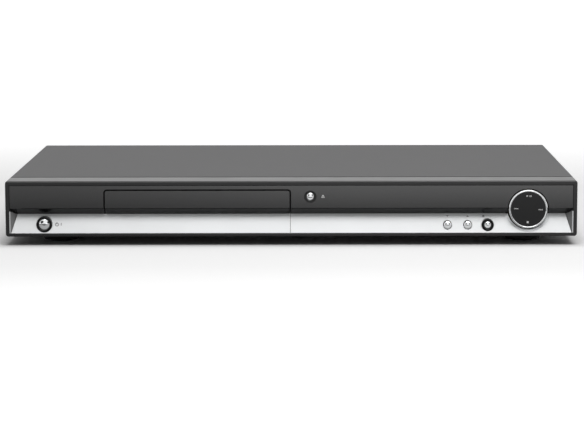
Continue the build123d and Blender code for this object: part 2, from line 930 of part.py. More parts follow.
def make_top_cover():
    """Folded steel cover: top and two sides, with slots in the sides."""
    low = foot_height + cover_lift
    length = rear_y - chassis_front
    with BuildPart() as cover:
        block(both(0, half_width), (chassis_front, rear_y), (low, case_top))
        fillet(cover.edges().filter_by(Axis.Y).group_by(Axis.Z)[-1], radius=corner_radius)
        block(both(0, cover_inside), (chassis_front - length, rear_y + length), (0, case_top - cover_sheet),
              Mode.SUBTRACT)
        for z in vent_rows:
            with Locations((0, vent_y, z)):
                with GridLocations(1, vent_pitch, 1, vent_count):
                    Box(2 * case_width, vent_slot[0], vent_slot[1], mode=Mode.SUBTRACT)
        for x in (-half_width, half_width):
            round_x(both(x, 2 * cover_sheet), side_screw_y, side_screw_z, screw_radius, Mode.SUBTRACT)
    keep(cover, "top_cover")


def make_feet():
    """Four tapered feet with a recess for the rubber."""
    with BuildPart() as feet:
        for x, y in foot_spots():
            turned(((0, foot_height), (foot_top_radius, foot_height), (foot_tip_radius, foot_lip),
                    (pad_radius + ring_gap, foot_lip), (pad_radius + ring_gap, foot_lip + pad_sink),
                    (0, foot_lip + pad_sink)), x, y)
    keep(feet, "feet")


def make_foot_pads():
    """Rubber discs in the feet, which touch the surface."""
    with BuildPart() as pads:
        for x, y in foot_spots():
            round_z(x, y, (0, foot_lip + pad_sink), pad_radius)
        chamfer(pads.edges().filter_by(GeomType.CIRCLE).group_by(Axis.Z)[0], length=foot_lip / 2)
    keep(pads, "foot_pads")


def make_case_screws():
    """Screws that hold the cover at its sides and the rear panel at its top."""
    with BuildPart() as screws:
        for side in (-1, 1):
            outer = side * half_width
            inner = side * (cover_inside - chassis_sheet)
            head = (min(outer, outer - side * fit), max(outer, outer - side * fit))
            round_x((min(inner, outer), max(inner, outer)), side_screw_y, side_screw_z, screw_radius)
            round_x(head, side_screw_y, side_screw_z, screw_radius)
        for x in rear_screw_x:
            round_y(x, (panel_front, panel_back), rear_screw_z, screw_radius)
            turned_y(((0, panel_back), (screw_head_radius, panel_back),
                      (screw_head_radius * stem_share, panel_back + screw_head_high),
                      (0, panel_back + screw_head_high)), x, rear_screw_z)
    keep(screws, "case_screws")


# The loader


def make_drive_frame():
    """Moulded loader frame: walls with tray rails, gear shelf, posts and fixing lugs."""
    half = frame_half
    inner = half - frame_wall
    front, rear = frame_y
    floor_z = (frame_low, frame_low + frame_floor)
    shelf_rear = front + shelf_length
    rail_x = (tray_half + rail_side_gap, inner)
    groove_x = tray_half + tongue_reach + rail_gap
    rail_low = (tongue_z[0] - rail_gap - rail_lip, tongue_z[0] - rail_gap)
    rail_high = (tongue_z[1] + rail_gap, tongue_z[1] + rail_gap + rail_lip)
    post_x = (deck_half + post_gap, deck_half + post_gap + post_thick)
    with BuildPart() as frame:
        block(drive((-half, half)), (front, rear), floor_z)
        for side in (-1, 1):
            block(drive(sorted((side * inner, side * half))), (front, rear), (frame_low, frame_top))
            block(drive(sorted((side * groove_x, side * inner))), (front, rear), (rail_low[0], rail_high[1]))
            block(drive(sorted((side * rail_x[0], side * rail_x[1]))), (front, rear), rail_low)
            for tab in range(rail_tab_count):
                start = front + tab * (frame_length - rail_tab) / (rail_tab_count - 1)
                block(drive(sorted((side * rail_x[0], side * rail_x[1]))), (start, start + rail_tab),
                      rail_high)
            block(drive(sorted((side * post_x[0], side * post_x[1]))), both(deck_pivot_y, post_half),
                  (frame_low, deck_pivot_z + post_half))
        block(drive((-half, half)), (rear - frame_floor, rear), (frame_low, frame_rear_high))
        block(drive((-inner, inner)), (front, shelf_rear), shelf_z)
        block(drive((-inner, inner)), (shelf_rear - shelf_wall, shelf_rear), (frame_low, shelf_z[1]))
        block(drive((-inner, inner)), (front, front + shelf_wall), (frame_low, shelf_z[1]))
        for x in (gear_x, pulley_x):
            round_z(door_x + x, gear_y, (shelf_z[1], gear_boss_top), gear_boss_radius)
            round_z(door_x + x, gear_y, (shelf_z[1], gear_pin_top), gear_pin_radius)
        block(drive((-deck_half, deck_half)), (deck_front + frame_wall, deck_rear - frame_wall), floor_z,
              Mode.SUBTRACT)
        round_x(drive((-half, half)), deck_pivot_y, deck_pivot_z, deck_pin_radius + fit, Mode.SUBTRACT)
        round_z(door_x + motor_pulley_x, gear_y, (floor_z[1], shelf_z[1]), motor_radius + fit, Mode.SUBTRACT)
        for x, y in lug_places():
            block(both(x, lug_reach / 2), both(y, lug_width / 2), floor_z)
            round_z(x, y, floor_z, screw_radius + fit, Mode.SUBTRACT)
    keep(frame, "drive_frame")


def rack_outline(root_x, tip_x):
    """(x, y) points down the toothed edge of the rack, a space opposite the pinion's middle."""
    pitch = pi * rack_module
    lean = tan(radians(pressure_angle))
    half = pitch / 4 - tooth_play / 2
    points = []
    for tooth in range(rack_teeth):
        middle = gear_y - pitch / 2 + tooth * pitch
        root = half + tooth_dedendum * rack_module * lean
        tip = half - tooth_addendum * rack_module * lean
        points += [(root_x, middle - root), (tip_x, middle - tip), (tip_x, middle + tip),
                   (root_x, middle + root)]
    return points


def make_disc_tray():
    """Sliding tray: two disc recesses, the slot for the pick-up, side tongues and the rack."""
    front = back(tray_front_depth)
    x = door_x + rack_line
    root_x = x + tooth_dedendum * rack_module
    tip_x = x - tooth_addendum * rack_module
    back_x = root_x + rack_back
    teeth = rack_outline(root_x, tip_x)
    with BuildPart() as tray:
        block(drive((-tray_half, tray_half)), (front, tray_rear), (tray_low, tray_top))
        fillet(tray.edges().filter_by(Axis.Z).group_by(Axis.Y)[-1], radius=finger_radius)
        for side in (-1, 1):
            reach = sorted((side * tray_half, side * (tray_half + tongue_reach)))
            block(drive(reach), (front + tongue_start, tray_rear - finger_radius), tongue_z)
            rib = sorted((side * tray_rib_x[0], side * tray_rib_x[1]))
            block(drive(rib), (front, tray_rear - finger_radius), (tray_rib_low, tray_low))
        block(drive((-tray_rib_x[1], tray_rib_x[1])), (front, front + tray_front_wall),
              (tray_rib_low, tray_low))
        slab([(back_x, teeth[0][1])] + teeth + [(back_x, teeth[-1][1])], (rack_low, tray_low))
        floor = tray_top - disc_step
        round_z(door_x, disc_y, (floor, tray_top), disc_radius, Mode.SUBTRACT)
        round_z(door_x, disc_y, (floor - small_disc_step, tray_top), small_disc_radius, Mode.SUBTRACT)
        for side in (-1, 1):
            round_z(door_x + side * disc_radius * cos(radians(45)), disc_y - disc_radius * sin(radians(45)),
                    (floor - small_disc_step, tray_top), finger_radius, Mode.SUBTRACT)
        round_z(door_x, disc_y, (rack_low, tray_top), tray_slot_half, Mode.SUBTRACT)
        block(drive((-tray_slot_half, tray_slot_half)), (disc_y, tray_rear + rack_low), (rack_low, tray_top),
              Mode.SUBTRACT)
    keep(tray, "disc_tray")


def make_tray_door():
    """Door on the front of the tray: flat face, undercut lower edge and a pad on its back."""
    low = valley_z + door_sill_gap
    reach = brow_depth(low)
    with BuildPart() as door:
        bar(((front_y, door_top), (front_y, brow_z), (back(reach), low), (back(reach + skin), low),
             (back(skin), brow_z), (back(skin), door_top)), both(door_x, door_width / 2))
        fillet(door.edges().filter_by(Axis.Y).group_by(Axis.Z)[-1], radius=door_corner)
        block(both(door_x, door_pad_width / 2), (back(skin), back(tray_front_depth)),
              (door_pad_low, door_pad_high))
    keep(door, "tray_door")


def gear_outline(module, teeth, start):
    """(x, y) points round a gear with involute flanks, from the formula for its flank."""
    pitch_radius = module * teeth / 2
    base = pitch_radius * cos(radians(pressure_angle))
    tip = pitch_radius + tooth_addendum * module
    root = pitch_radius - tooth_dedendum * module
    flank_start = max(base, root)
    steps = 3

    def spread(radius):
        roll = (max(radius / base, 1.0) ** 2 - 1) ** 0.5
        return roll - atan2(roll, 1)

    half = (pi * module / 2 - tooth_play) / (2 * pitch_radius) + spread(pitch_radius)
    radii = [flank_start + (tip - flank_start) * i / steps for i in range(steps + 1)]
    if root < flank_start:
        radii = [root] + radii
    points = []
    for tooth in range(teeth):
        middle = radians(start) + tooth * 2 * pi / teeth
        rising = [(r, middle - half + spread(r)) for r in radii]
        falling = [(r, middle + half - spread(r)) for r in reversed(radii)]
        points += [(r * cos(a), r * sin(a)) for r, a in rising + falling]
    return points


def placed(points, x, y):
    """Outline points moved to a centre."""
    return [(x + px, y + py) for px, py in points]


def make_drive_gear():
    """Double gear: the wide wheel below, the rack's pinion above."""
    x = door_x + gear_x
    wheel_z = (gear_low, gear_low + wheel_thick)
    with BuildPart() as gear:
        slab(placed(gear_outline(wheel_module, wheel_teeth, 0), x, gear_y), wheel_z)
        slab(placed(gear_outline(rack_module, pinion_teeth, 0), x, gear_y), (wheel_z[1], pinion_top))
        round_z(x, gear_y, (gear_low, pinion_top), gear_pin_radius + fit, Mode.SUBTRACT)
    keep(gear, "drive_gear")


def pulley_points(radius, z):
    """(radius, z) points of a pulley rim with a belt groove."""
    floor = radius - belt_thick
    edge = (size(z) - belt_thick) / 2 - belt_groove_gap
    return [(radius, z[0]), (radius, z[0] + edge / 2), (floor, z[0] + edge), (floor, z[1] - edge),
            (radius, z[1] - edge / 2), (radius, z[1])]


def make_pulley_gear():
    """Belt pulley with a small pinion under it."""
    x = door_x + pulley_x
    start = 180 / wheel_pinion_teeth
    bore = gear_pin_radius + fit
    with BuildPart() as gear:
        slab(placed(gear_outline(wheel_module, wheel_pinion_teeth, start), x, gear_y),
             (gear_low, pulley_z[0]))
        turned([(bore, pulley_z[0])] + pulley_points(pulley_radius, pulley_z) + [(bore, pulley_z[1])],
               x, gear_y)
        round_z(x, gear_y, (gear_low, pulley_z[1]), bore, Mode.SUBTRACT)
    keep(gear, "pulley_gear")


def make_motor_pulley():
    """Small pulley on the loading motor's shaft."""
    x = door_x + motor_pulley_x
    bore = motor_shaft_radius + fit
    with BuildPart() as pulley:
        turned([(bore, pulley_z[0])] + pulley_points(motor_pulley_radius, pulley_z) + [(bore, pulley_z[1])],
               x, gear_y)
    keep(pulley, "motor_pulley")


def belt_face(grow):
    """Outline of the belt's run round both pulleys, grown by an amount."""
    large = pulley_radius - belt_thick + belt_groove_gap + grow
    small = motor_pulley_radius - belt_thick + belt_groove_gap + grow
    gap = pulley_x - motor_pulley_x
    lean = asin((large - small) / gap)
    big_x = door_x + pulley_x
    small_x = door_x + motor_pulley_x
    with BuildSketch(Plane.XY.offset(mid(pulley_z) - belt_thick / 2)) as face:
        with BuildLine():
            top_small = (small_x - small * sin(lean), gear_y + small * cos(lean))
            low_small = (small_x - small * sin(lean), gear_y - small * cos(lean))
            top_big = (big_x - large * sin(lean), gear_y + large * cos(lean))
            low_big = (big_x - large * sin(lean), gear_y - large * cos(lean))
            Line(top_small, top_big)
            ThreePointArc(top_big, (big_x + large, gear_y), low_big)
            Line(low_big, low_small)
            ThreePointArc(low_small, (small_x - small, gear_y), top_small)
        make_face()
    return face.sketch


def make_drive_belt():
    """Square rubber belt round the motor's pulley and the pulley gear."""
    with BuildPart() as belt:
        extrude(belt_face(belt_thick), amount=belt_thick)
        extrude(belt_face(0), amount=belt_thick, mode=Mode.SUBTRACT)
    keep(belt, "drive_belt")


def make_loading_motor():
    """Flattened can motor that stands in the shelf, with its shaft up."""
    x = door_x + motor_pulley_x
    with BuildPart() as motor:
        round_z(x, gear_y, motor_z, motor_radius)
        for side in (-1, 1):
            flat = sorted((gear_y + side * motor_flat, gear_y + side * 2 * motor_radius))
            block(both(x, 2 * motor_radius), flat, motor_z, Mode.SUBTRACT)
        round_z(x, gear_y, (motor_z[1], pulley_z[0] - seat_gap), 2 * motor_shaft_radius)
        round_z(x, gear_y, (motor_z[1], pulley_z[1]), motor_shaft_radius)
    keep(motor, "loading_motor")


def make_cam_slider():
    """Bar with two sloping slots that raise and lower the deck's front pins."""
    slot = 2 * (cam_pin_radius + cam_slot_gap)
    run = Vector(-cam_travel, -deck_drop)
    tilt = degrees(atan2(deck_drop, cam_travel))
    with BuildPart() as cam:
        block(drive(cam_x), cam_y, (cam_low, cam_top))
        with BuildSketch(Plane.XZ.offset(-cam_y[1])) as slots:
            for x in cam_pin_x:
                middle = Vector(door_x + x, deck_pivot_z) + run * 0.5
                with Locations(Location((middle.X, middle.Y, 0), (0, 0, tilt))):
                    SlotCenterToCenter(run.length + cam_slot_run / 4, slot)
        extrude(slots.sketch, amount=cam_thick, mode=Mode.SUBTRACT)
    keep(cam, "cam_slider")


def make_traverse_deck():
    """Lifting plate with pivot stubs, cam pins, rod holders and the pick-up's window."""
    with BuildPart() as deck:
        block(drive((-deck_half, deck_half)), (deck_front, deck_rear), deck_z)
        block(drive((-deck_window_half, deck_window_half)), deck_window_y, deck_z, Mode.SUBTRACT)
        motor_x = both(screw_x, sled_motor_radius + seat_gap)
        motor_y = (sled_motor_y[0] + sled_motor_flange, sled_motor_y[1] + seat_gap)
        block(drive(motor_x), motor_y, deck_z, Mode.SUBTRACT)
        for side in (-1, 1):
            flange = sorted((side * deck_half, side * (deck_half - chassis_sheet)))
            block(drive(flange), (deck_front, deck_rear), (deck_z[1], deck_z[1] + 2 * chassis_sheet))
            stub = sorted((side * (deck_half - chassis_sheet), side * (deck_half + deck_pin_reach)))
            round_x(drive(stub), deck_pivot_y, deck_pivot_z, deck_pin_radius)
            for y in (rod_y[0], rod_y[1] - rod_block_thick + chassis_sheet):
                block(drive(both(side * rod_x, rod_block / 2)), (y - chassis_sheet, y + rod_block_thick),
                      (deck_z[1], rod_z + rod_block / 2))
            round_y(door_x + side * rod_x, rod_y, rod_z, rod_radius + fit, Mode.SUBTRACT)
        for x in cam_pin_x:
            round_y(door_x + x, (pin_y[0], deck_front + deck_pin_radius), deck_pivot_z, cam_pin_radius)
        front_block = (screw_front - chassis_sheet, screw_front + rod_block_thick)
        block(drive((rod_x + rod_block / 2, screw_x + rod_block / 2)), front_block,
              (deck_z[1], rod_z + rod_block / 2))
        round_y(door_x + screw_x, (screw_front - seat_gap, deck_rear), rod_z, screw_rod_radius + fit,
                Mode.SUBTRACT)
    keep(deck, "traverse_deck")


def make_spindle_motor():
    """Flat disc motor with its shaft up."""
    with BuildPart() as motor:
        round_z(door_x, disc_y, (deck_z[1], spindle_top), spindle_radius)
        chamfer(motor.edges().filter_by(GeomType.CIRCLE).group_by(Axis.Z)[-1], length=dome_rise)
        round_z(door_x, disc_y, (spindle_top, disc_seat), spindle_shaft_radius)
    keep(motor, "spindle_motor")


def make_turntable():
    """Seat for the disc, with its centring cone and a neck over the shaft."""
    low = spindle_top + seat_gap
    bore = spindle_shaft_radius + fit
    top = disc_seat + cone_high
    with BuildPart() as table:
        turned(((bore, low), (turntable_neck, low), (turntable_neck, disc_seat - turntable_thick),
                (turntable_radius, disc_seat - turntable_thick), (turntable_radius, disc_seat),
                (cone_radius, disc_seat), (cone_tip_radius, top), (0, top), (0, disc_seat + fit),
                (bore, disc_seat + fit)), door_x, disc_y)
    keep(table, "turntable")


def make_clamp_bridge():
    """Steel strap over the tray with a hole for the clamp and two pressed beads."""
    z = (frame_top, frame_top + bridge_thick)
    y = both(disc_y, bridge_half)
    with BuildPart() as bridge:
        block(drive((-frame_half, frame_half)), y, z)
        fillet(bridge.edges().filter_by(Axis.Z), radius=corner_radius)
        for side in (-1, 1):
            round_x(drive((-tray_half, tray_half)), disc_y + side * (bridge_half - frame_wall),
                    z[1], bridge_bead)
        block(drive((-tray_half, tray_half)), y, (z[0] - bridge_bead, z[0]), Mode.SUBTRACT)
        round_z(door_x, disc_y, (z[0], z[1] + bridge_bead), bridge_hole, Mode.SUBTRACT)
    keep(bridge, "clamp_bridge")


def make_clamp_puck():
    """Round clamp that hangs in the bridge and presses the disc to the turntable."""
    top = frame_top + bridge_thick + seat_gap
    with BuildPart() as puck:
        turned(((0, puck_low + puck_bore_deep), (puck_bore, puck_low + puck_bore_deep),
                (puck_bore, puck_low), (puck_radius, puck_low), (puck_radius, top), (puck_flange, top),
                (puck_flange, top + puck_flange_thick), (0, top + puck_flange_thick)), door_x, disc_y)
    keep(puck, "clamp_puck")


def make_guide_rods():
    """Two ground rods that carry the pick-up."""
    with BuildPart() as rods:
        for side in (-1, 1):
            round_y(door_x + side * rod_x, rod_y, rod_z, rod_radius)
    keep(rods, "guide_rods")


def make_pickup_sled():
    """Pick-up body with a bore for each rod, a half nut and the lens turret."""
    with BuildPart() as sled:
        block(drive((-sled_half, sled_half)), sled_y, sled_z)
        fillet(sled.edges().filter_by(Axis.Z), radius=corner_radius)
        block(drive(both(0, rod_x + rod_block / 2)), sled_arm, (sled_z[0], rod_z + rod_block / 2))
        nut_y = both(mid(sled_arm), nut_length / 2)
        block(drive((rod_x, screw_x + rod_block / 3)), nut_y, (sled_z[0] - rail_lip / 2, rod_z))
        round_z(door_x, lens_y, (sled_z[0], turret_top), turret_radius)
        round_z(door_x, lens_y, (turret_top - lens_rise, turret_top), lens_radius + fit, Mode.SUBTRACT)
        for side in (-1, 1):
            round_y(door_x + side * rod_x, sled_y, rod_z, rod_radius + fit, Mode.SUBTRACT)
        round_y(door_x + screw_x, sled_y, rod_z, screw_rod_radius + 2 * fit, Mode.SUBTRACT)
    keep(sled, "pickup_sled")


def make_pickup_lens():
    """Small domed objective in the turret."""
    with BuildPart() as lens:
        round_z(door_x, lens_y, (turret_top - lens_rise, turret_top + lens_rise), lens_radius)
        fillet(lens.edges().filter_by(GeomType.CIRCLE).group_by(Axis.Z)[-1], radius=lens_rise)
    keep(lens, "pickup_lens")


def make_lead_screw():
    """Feed screw beside the rods."""
    with BuildPart() as screw:
        round_y(door_x + screw_x, (screw_front, sled_motor_y[0] - seat_gap), rod_z, screw_rod_radius)
        round_y(door_x + screw_x, (sled_motor_y[0] - seat_gap - chassis_sheet, sled_motor_y[0] - seat_gap),
                rod_z, 2 * screw_rod_radius)
    keep(screw, "lead_screw")


def make_sled_motor():
    """Small stepper behind the feed screw, on an upright bracket."""
    with BuildPart() as motor:
        block(drive(both(screw_x, sled_motor_radius)),
              (sled_motor_y[0], sled_motor_y[0] + sled_motor_flange),
              (deck_z[1], rod_z + sled_motor_radius))
        round_y(door_x + screw_x, (sled_motor_y[0] + sled_motor_flange, sled_motor_y[1]), rod_z,
                sled_motor_radius)
    keep(motor, "sled_motor")


# Boards, power supply and sockets


def make_board(name, board):
    """Circuit board with a hole over each post."""
    with BuildPart() as plate:
        block(board[0], board[1], (board_seat, board_seat + board_thick))
        fillet(plate.edges().filter_by(Axis.Z), radius=corner_radius)
        for x, y in standoff_spots(board):
            round_z(x, y, (board_seat, board_seat + board_thick), screw_radius, Mode.SUBTRACT)
    keep(plate, name)


def make_inner_screws():
    """Pan-head screws into the posts under the boards and the loader's lugs."""
    spots = [(x, y, (board_seat, board_seat + board_thick))
             for board in (main_board, power_board) for x, y in standoff_spots(board)]
    spots += [(x, y, (frame_low, frame_low + frame_floor)) for x, y in lug_places()]
    with BuildPart() as screws:
        for x, y, grip in spots:
            round_z(x, y, grip, screw_radius)
            round_z(x, y, (grip[1], grip[1] + screw_head_high), screw_head_radius)
    keep(screws, "inner_screws")


def make_main_chip():
    """Square video processor."""
    top = board_seat + board_thick
    with BuildPart() as chip:
        block(both(chip_spot[0], chip_half), both(chip_spot[1], chip_half), (top, top + chip_high))
        chamfer(chip.edges().group_by(Axis.Z)[-1], length=chip_high / 4)
    keep(chip, "main_chip")


def make_heat_sink():
    """Extruded fins on the processor."""
    low = board_seat + board_thick + chip_high
    pitch = (2 * chip_half - fin_thick) / (sink_fins - 1)
    with BuildPart() as sink:
        block(both(chip_spot[0], chip_half), both(chip_spot[1], chip_half), (low, low + sink_base))
        with Locations((chip_spot[0], chip_spot[1], low + (sink_base + sink_high) / 2)):
            with GridLocations(pitch, 1, sink_fins, 1):
                Box(fin_thick, 2 * chip_half, sink_high - sink_base)
    keep(sink, "heat_sink")


def make_transformer():
    """Switching transformer: a square ferrite core round its winding."""
    x, y = transformer_spot
    wide, deep, high = transformer_size
    low = board_seat + board_thick
    with BuildPart() as transformer:
        block(both(x, wide / 2), both(y, deep / 2), (low, low + high))
        block(both(x, wide / 2 - core_leg), both(y, deep), (low + core_leg / 2, low + high - core_leg / 2),
              Mode.SUBTRACT)
        round_z(x, y, (low, low + high - core_leg / 4), winding_radius)
    keep(transformer, "transformer")


def can_spots():
    """(x, y, (radius, height)) of every capacitor on the two boards."""
    left = power_board[0][0]
    spots = [(left + big_can_spot[0], power_board[1][0] + big_can_spot[1], big_can),
             (left + small_can_spot[0], panel_front - small_can_spot[1], small_can)]
    spots += [(left + x, panel_front - rear, power_can) for x, rear in power_can_spots]
    spots += [(main_board[0][0] + x, panel_front - rear, board_can) for x, rear in board_can_spots]
    return spots


def make_capacitors():
    """Standing can capacitors on both boards, each with a rolled top edge."""
    low = board_seat + board_thick
    edge = dome_rise / 2
    with BuildPart() as cans:
        for x, y, (radius, high) in can_spots():
            turned(((0, low), (radius, low), (radius, low + high - edge), (radius - edge, low + high),
                    (0, low + high)), x, y)
    keep(cans, "capacitors")


def make_tuner_can():
    """Screened tuner box that carries the antenna sockets."""
    with BuildPart() as tuner:
        block(tuner_x, (tuner_y, panel_front), tuner_z)
        for x in (tuner_x[0] + tuner_leg, tuner_x[1] - tuner_leg_inset):
            block((x, x + tuner_leg), (tuner_y + tuner_leg, panel_front - tuner_leg),
                  (board_seat + board_thick, tuner_z[0]))
    keep(tuner, "tuner_can")


def make_antenna_sockets():
    """Two threaded coaxial sockets on hexagonal collars."""
    with BuildPart() as sockets:
        for z in antenna_rows:
            round_y(antenna_x, (panel_front, jack_tip), z, antenna_radius)
            with BuildSketch(Plane.XZ.offset(-(panel_back + chassis_sheet))) as collar:
                with Locations((antenna_x, z)):
                    RegularPolygon(antenna_hex, 6)
            extrude(collar.sketch, amount=chassis_sheet)
            round_y(antenna_x, (jack_tip - jack_reach, jack_tip), z, jack_pin_bore / 2, Mode.SUBTRACT)
    keep(sockets, "antenna_sockets")


def jack_spots():
    """(x, z) of every round signal jack."""
    spots = []
    for first in (av_jack_x, video_jack_x):
        for column in range(jack_columns):
            for z in jack_rows:
                spots.append((first + column * jack_pitch, z))
    return spots


def make_jack_blocks():
    """Moulded blocks behind the rear panel, with a collar and an insulator for each jack."""
    with BuildPart() as blocks:
        for first in (av_jack_x, video_jack_x):
            last = first + (jack_columns - 1) * jack_pitch
            wide = (first - jack_block_margin, last + jack_block_margin)
            block(wide, (panel_front - jack_block_deep, panel_front),
                  (board_seat + board_thick, jack_rows[1] + jack_block_margin))
        for x, z in jack_spots():
            round_y(x, (panel_front, panel_back + chassis_sheet / 2), z, jack_collar)
            round_y(x, (panel_back, jack_tip - chassis_sheet), z, jack_bore)
            round_y(x, (panel_back, jack_tip), z, jack_pin_bore, Mode.SUBTRACT)
    keep(blocks, "jack_blocks")


def make_jack_barrels():
    """Plated sleeves round the insulators of the signal jacks."""
    with BuildPart() as barrels:
        for x, z in jack_spots():
            low = panel_back + chassis_sheet / 2
            lip = jack_radius - jack_bore
            turned_y(((jack_bore, low), (jack_radius, low), (jack_radius, jack_tip - lip / 2),
                      (jack_radius - lip / 2, jack_tip), (jack_bore, jack_tip)), x, z)
    keep(barrels, "jack_barrels")


def make_svideo_socket():
    """Round four-pin video socket in its block."""
    with BuildPart() as socket:
        block(both(svideo_x, svideo_radius + chip_high / 2), (panel_front - jack_block_deep, panel_front),
              (board_seat + board_thick, svideo_z + svideo_radius + chip_high / 2))
        round_y(svideo_x, (panel_front, panel_back + chassis_sheet), svideo_z, svideo_radius)
        round_y(svideo_x, (panel_back, panel_back + chassis_sheet), svideo_z, svideo_radius - chip_high,
                Mode.SUBTRACT)
        round_y(svideo_x, (panel_back, panel_back + chassis_sheet), svideo_z, svideo_radius - 2 * chip_high)
    keep(socket, "svideo_socket")


def make_optical_socket():
    """Square optical socket with its flap shut."""
    with BuildPart() as socket:
        block(both(optical_x, optical_half), (panel_front - jack_block_deep, panel_front),
              (board_seat + board_thick, optical_z + optical_half))
        block(both(optical_x, optical_half), (panel_front, panel_back + chassis_sheet),
              both(optical_z, optical_half))
        block(both(optical_x, optical_half - optical_rim),
              (panel_back + chassis_sheet / 2, panel_back + chassis_sheet),
              both(optical_z, optical_half - 2 * optical_rim), Mode.SUBTRACT)
    keep(socket, "optical_socket")


def make_mains_inlet():
    """Two-pin mains inlet with a rounded cavity and a flange outside the panel."""
    face = panel_back + inlet_flange_thick
    with BuildPart() as inlet:
        block(both(inlet_x, inlet_body[0] / 2), (face - inlet_deep, panel_back),
              both(inlet_z, inlet_body[1] / 2))
        block(both(inlet_x, inlet_flange[0] / 2), (panel_back, face),
              both(inlet_z, inlet_flange[1] / 2))
        fillet(inlet.edges().filter_by(Axis.Y), radius=corner_radius)
        with BuildSketch(Plane.XZ.offset(-face)) as cavity:
            with Locations((inlet_x, inlet_z)):
                SlotOverall(inlet_cavity[0], inlet_cavity[1])
        extrude(cavity.sketch, amount=inlet_cavity_deep, mode=Mode.SUBTRACT)
        for side in (-1, 1):
            round_y(inlet_x + side * inlet_pin_pitch / 2, (face - inlet_deep, face), inlet_z,
                    inlet_pin_radius + fit, Mode.SUBTRACT)
    keep(inlet, "mains_inlet")


def make_inlet_pins():
    """Two round pins that run through the inlet to the power board's leads."""
    face = panel_back + inlet_flange_thick
    with BuildPart() as pins:
        for side in (-1, 1):
            round_y(inlet_x + side * inlet_pin_pitch / 2, (face - inlet_pin_back, face - chip_high), inlet_z,
                    inlet_pin_radius)
    keep(pins, "inlet_pins")


def make_fan_frame():
    """Square fan housing with a round duct, four fixing holes and three struts."""
    y = (panel_front - fan_deep, panel_front)
    seat = (y[0], y[0] + fan_strut)
    with BuildPart() as frame:
        block(both(fan_x, fan_half), y, both(fan_z, fan_half))
        fillet(frame.edges().filter_by(Axis.Y), radius=corner_radius)
        round_y(fan_x, y, fan_z, fan_bore, Mode.SUBTRACT)
        for x, z in fan_screw_spots():
            round_y(x, y, z, screw_radius, Mode.SUBTRACT)
        round_y(fan_x, seat, fan_z, fan_seat_radius)
        for turn in fan_strut_turns:
            reach = fan_bore + fan_strut / 4
            with Locations(Location((fan_x, mid(seat), fan_z), (0, turn, 0))):
                with Locations((reach / 2, 0, 0)):
                    Box(reach, fan_strut, fan_strut)
        round_y(fan_x, (y[0], y[1] - fan_strut), fan_z, motor_shaft_radius)
    keep(frame, "fan_frame")


def make_fan_rotor():
    """Fan hub with tilted blades, which turns on the housing's pin."""
    y = (panel_front - fan_deep + fan_strut + seat_gap, panel_front - seat_gap)
    middle = mid(y)
    length = size(y) - 2 * fan_blade_thick
    with BuildPart() as rotor:
        round_y(fan_x, y, fan_z, fan_hub)
        for blade in range(fan_blades):
            turn = blade * 360 / fan_blades
            with Locations(Location((fan_x, middle, fan_z), (0, turn, 0))):
                with Locations(Location((fan_blade_reach / 2, 0, 0), (fan_blade_tilt, 0, 0))):
                    Box(fan_blade_reach, length, fan_blade_thick)
        round_y(fan_x, (y[0], y[1] - fan_strut / 2), fan_z, motor_shaft_radius + fit, Mode.SUBTRACT)
    keep(rotor, "fan_rotor")


def make_front():
    """Everything that belongs to the front."""
    make_front_bezel()
    make_front_lens()
    left = trim_seam_x - trim_seam / 2
    right = trim_seam_x + trim_seam / 2
    make_lower_trim("lower_trim_left", (-mouth_half, left))
    make_lower_trim("lower_trim_right", (right, mouth_half))
    make_control_ring("power_ring", power_x, power_z, power_ring_radius, power_cap_radius + ring_gap)
    make_control_ring("record_ring", record_x, record_z, record_ring_radius, record_cap_radius + ring_gap)
    make_button("power_button", power_x, power_z, power_cap_radius, ring_face_depth + dome_rise)
    make_button("record_button", record_x, record_z, record_cap_radius, ring_face_depth + dome_rise)
    make_button("eject_button", eject_x, eject_z, eject_radius, eject_face_depth + dome_rise)
    make_button("program_down_button", program_x[0], program_z, program_radius, program_face_depth)
    make_button("program_up_button", program_x[1], program_z, program_radius, program_face_depth)
    make_dial_ring()
    make_dial_pad()
    make_dial_gimbal()
    make_dial_bracket()
    make_tact_switches()
    make_front_boards()
    make_display_module()


def make_case():
    """The folded case and what it stands on."""
    make_bottom_chassis()
    make_rear_panel()
    make_top_cover()
    make_feet()
    make_foot_pads()
    make_case_screws()


def make_loader():
    """The loader and its drive train."""
    make_drive_frame()
    make_disc_tray()
    make_tray_door()
    make_drive_gear()
    make_pulley_gear()
    make_motor_pulley()
    make_drive_belt()
    make_loading_motor()
    make_cam_slider()
    make_traverse_deck()
    make_spindle_motor()
    make_turntable()
    make_clamp_bridge()
    make_clamp_puck()
    make_guide_rods()
    make_pickup_sled()
    make_pickup_lens()
    make_lead_screw()
    make_sled_motor()


def make_electronics():
    """Boards, power supply, sockets and fan."""
    make_board("main_board", main_board)
    make_board("power_board", power_board)
    make_inner_screws()
    make_main_chip()
    make_heat_sink()
    make_transformer()
    make_capacitors()
    make_tuner_can()
    make_antenna_sockets()
    make_jack_blocks()
    make_jack_barrels()
    make_svideo_socket()
    make_optical_socket()
    make_mains_inlet()
    make_inlet_pins()
    make_fan_frame()
    make_fan_rotor()


make_front()
make_case()
make_loader()
make_electronics()
print(f"deck swing {deck_swing:.4f} degrees")
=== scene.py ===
"""Looks of a slim disc recorder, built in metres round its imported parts."""

import logging
import math
from dataclasses import dataclass, field
from enum import Enum
from typing import ClassVar, Sequence

import bmesh
import bpy
from mathutils import Matrix, Vector


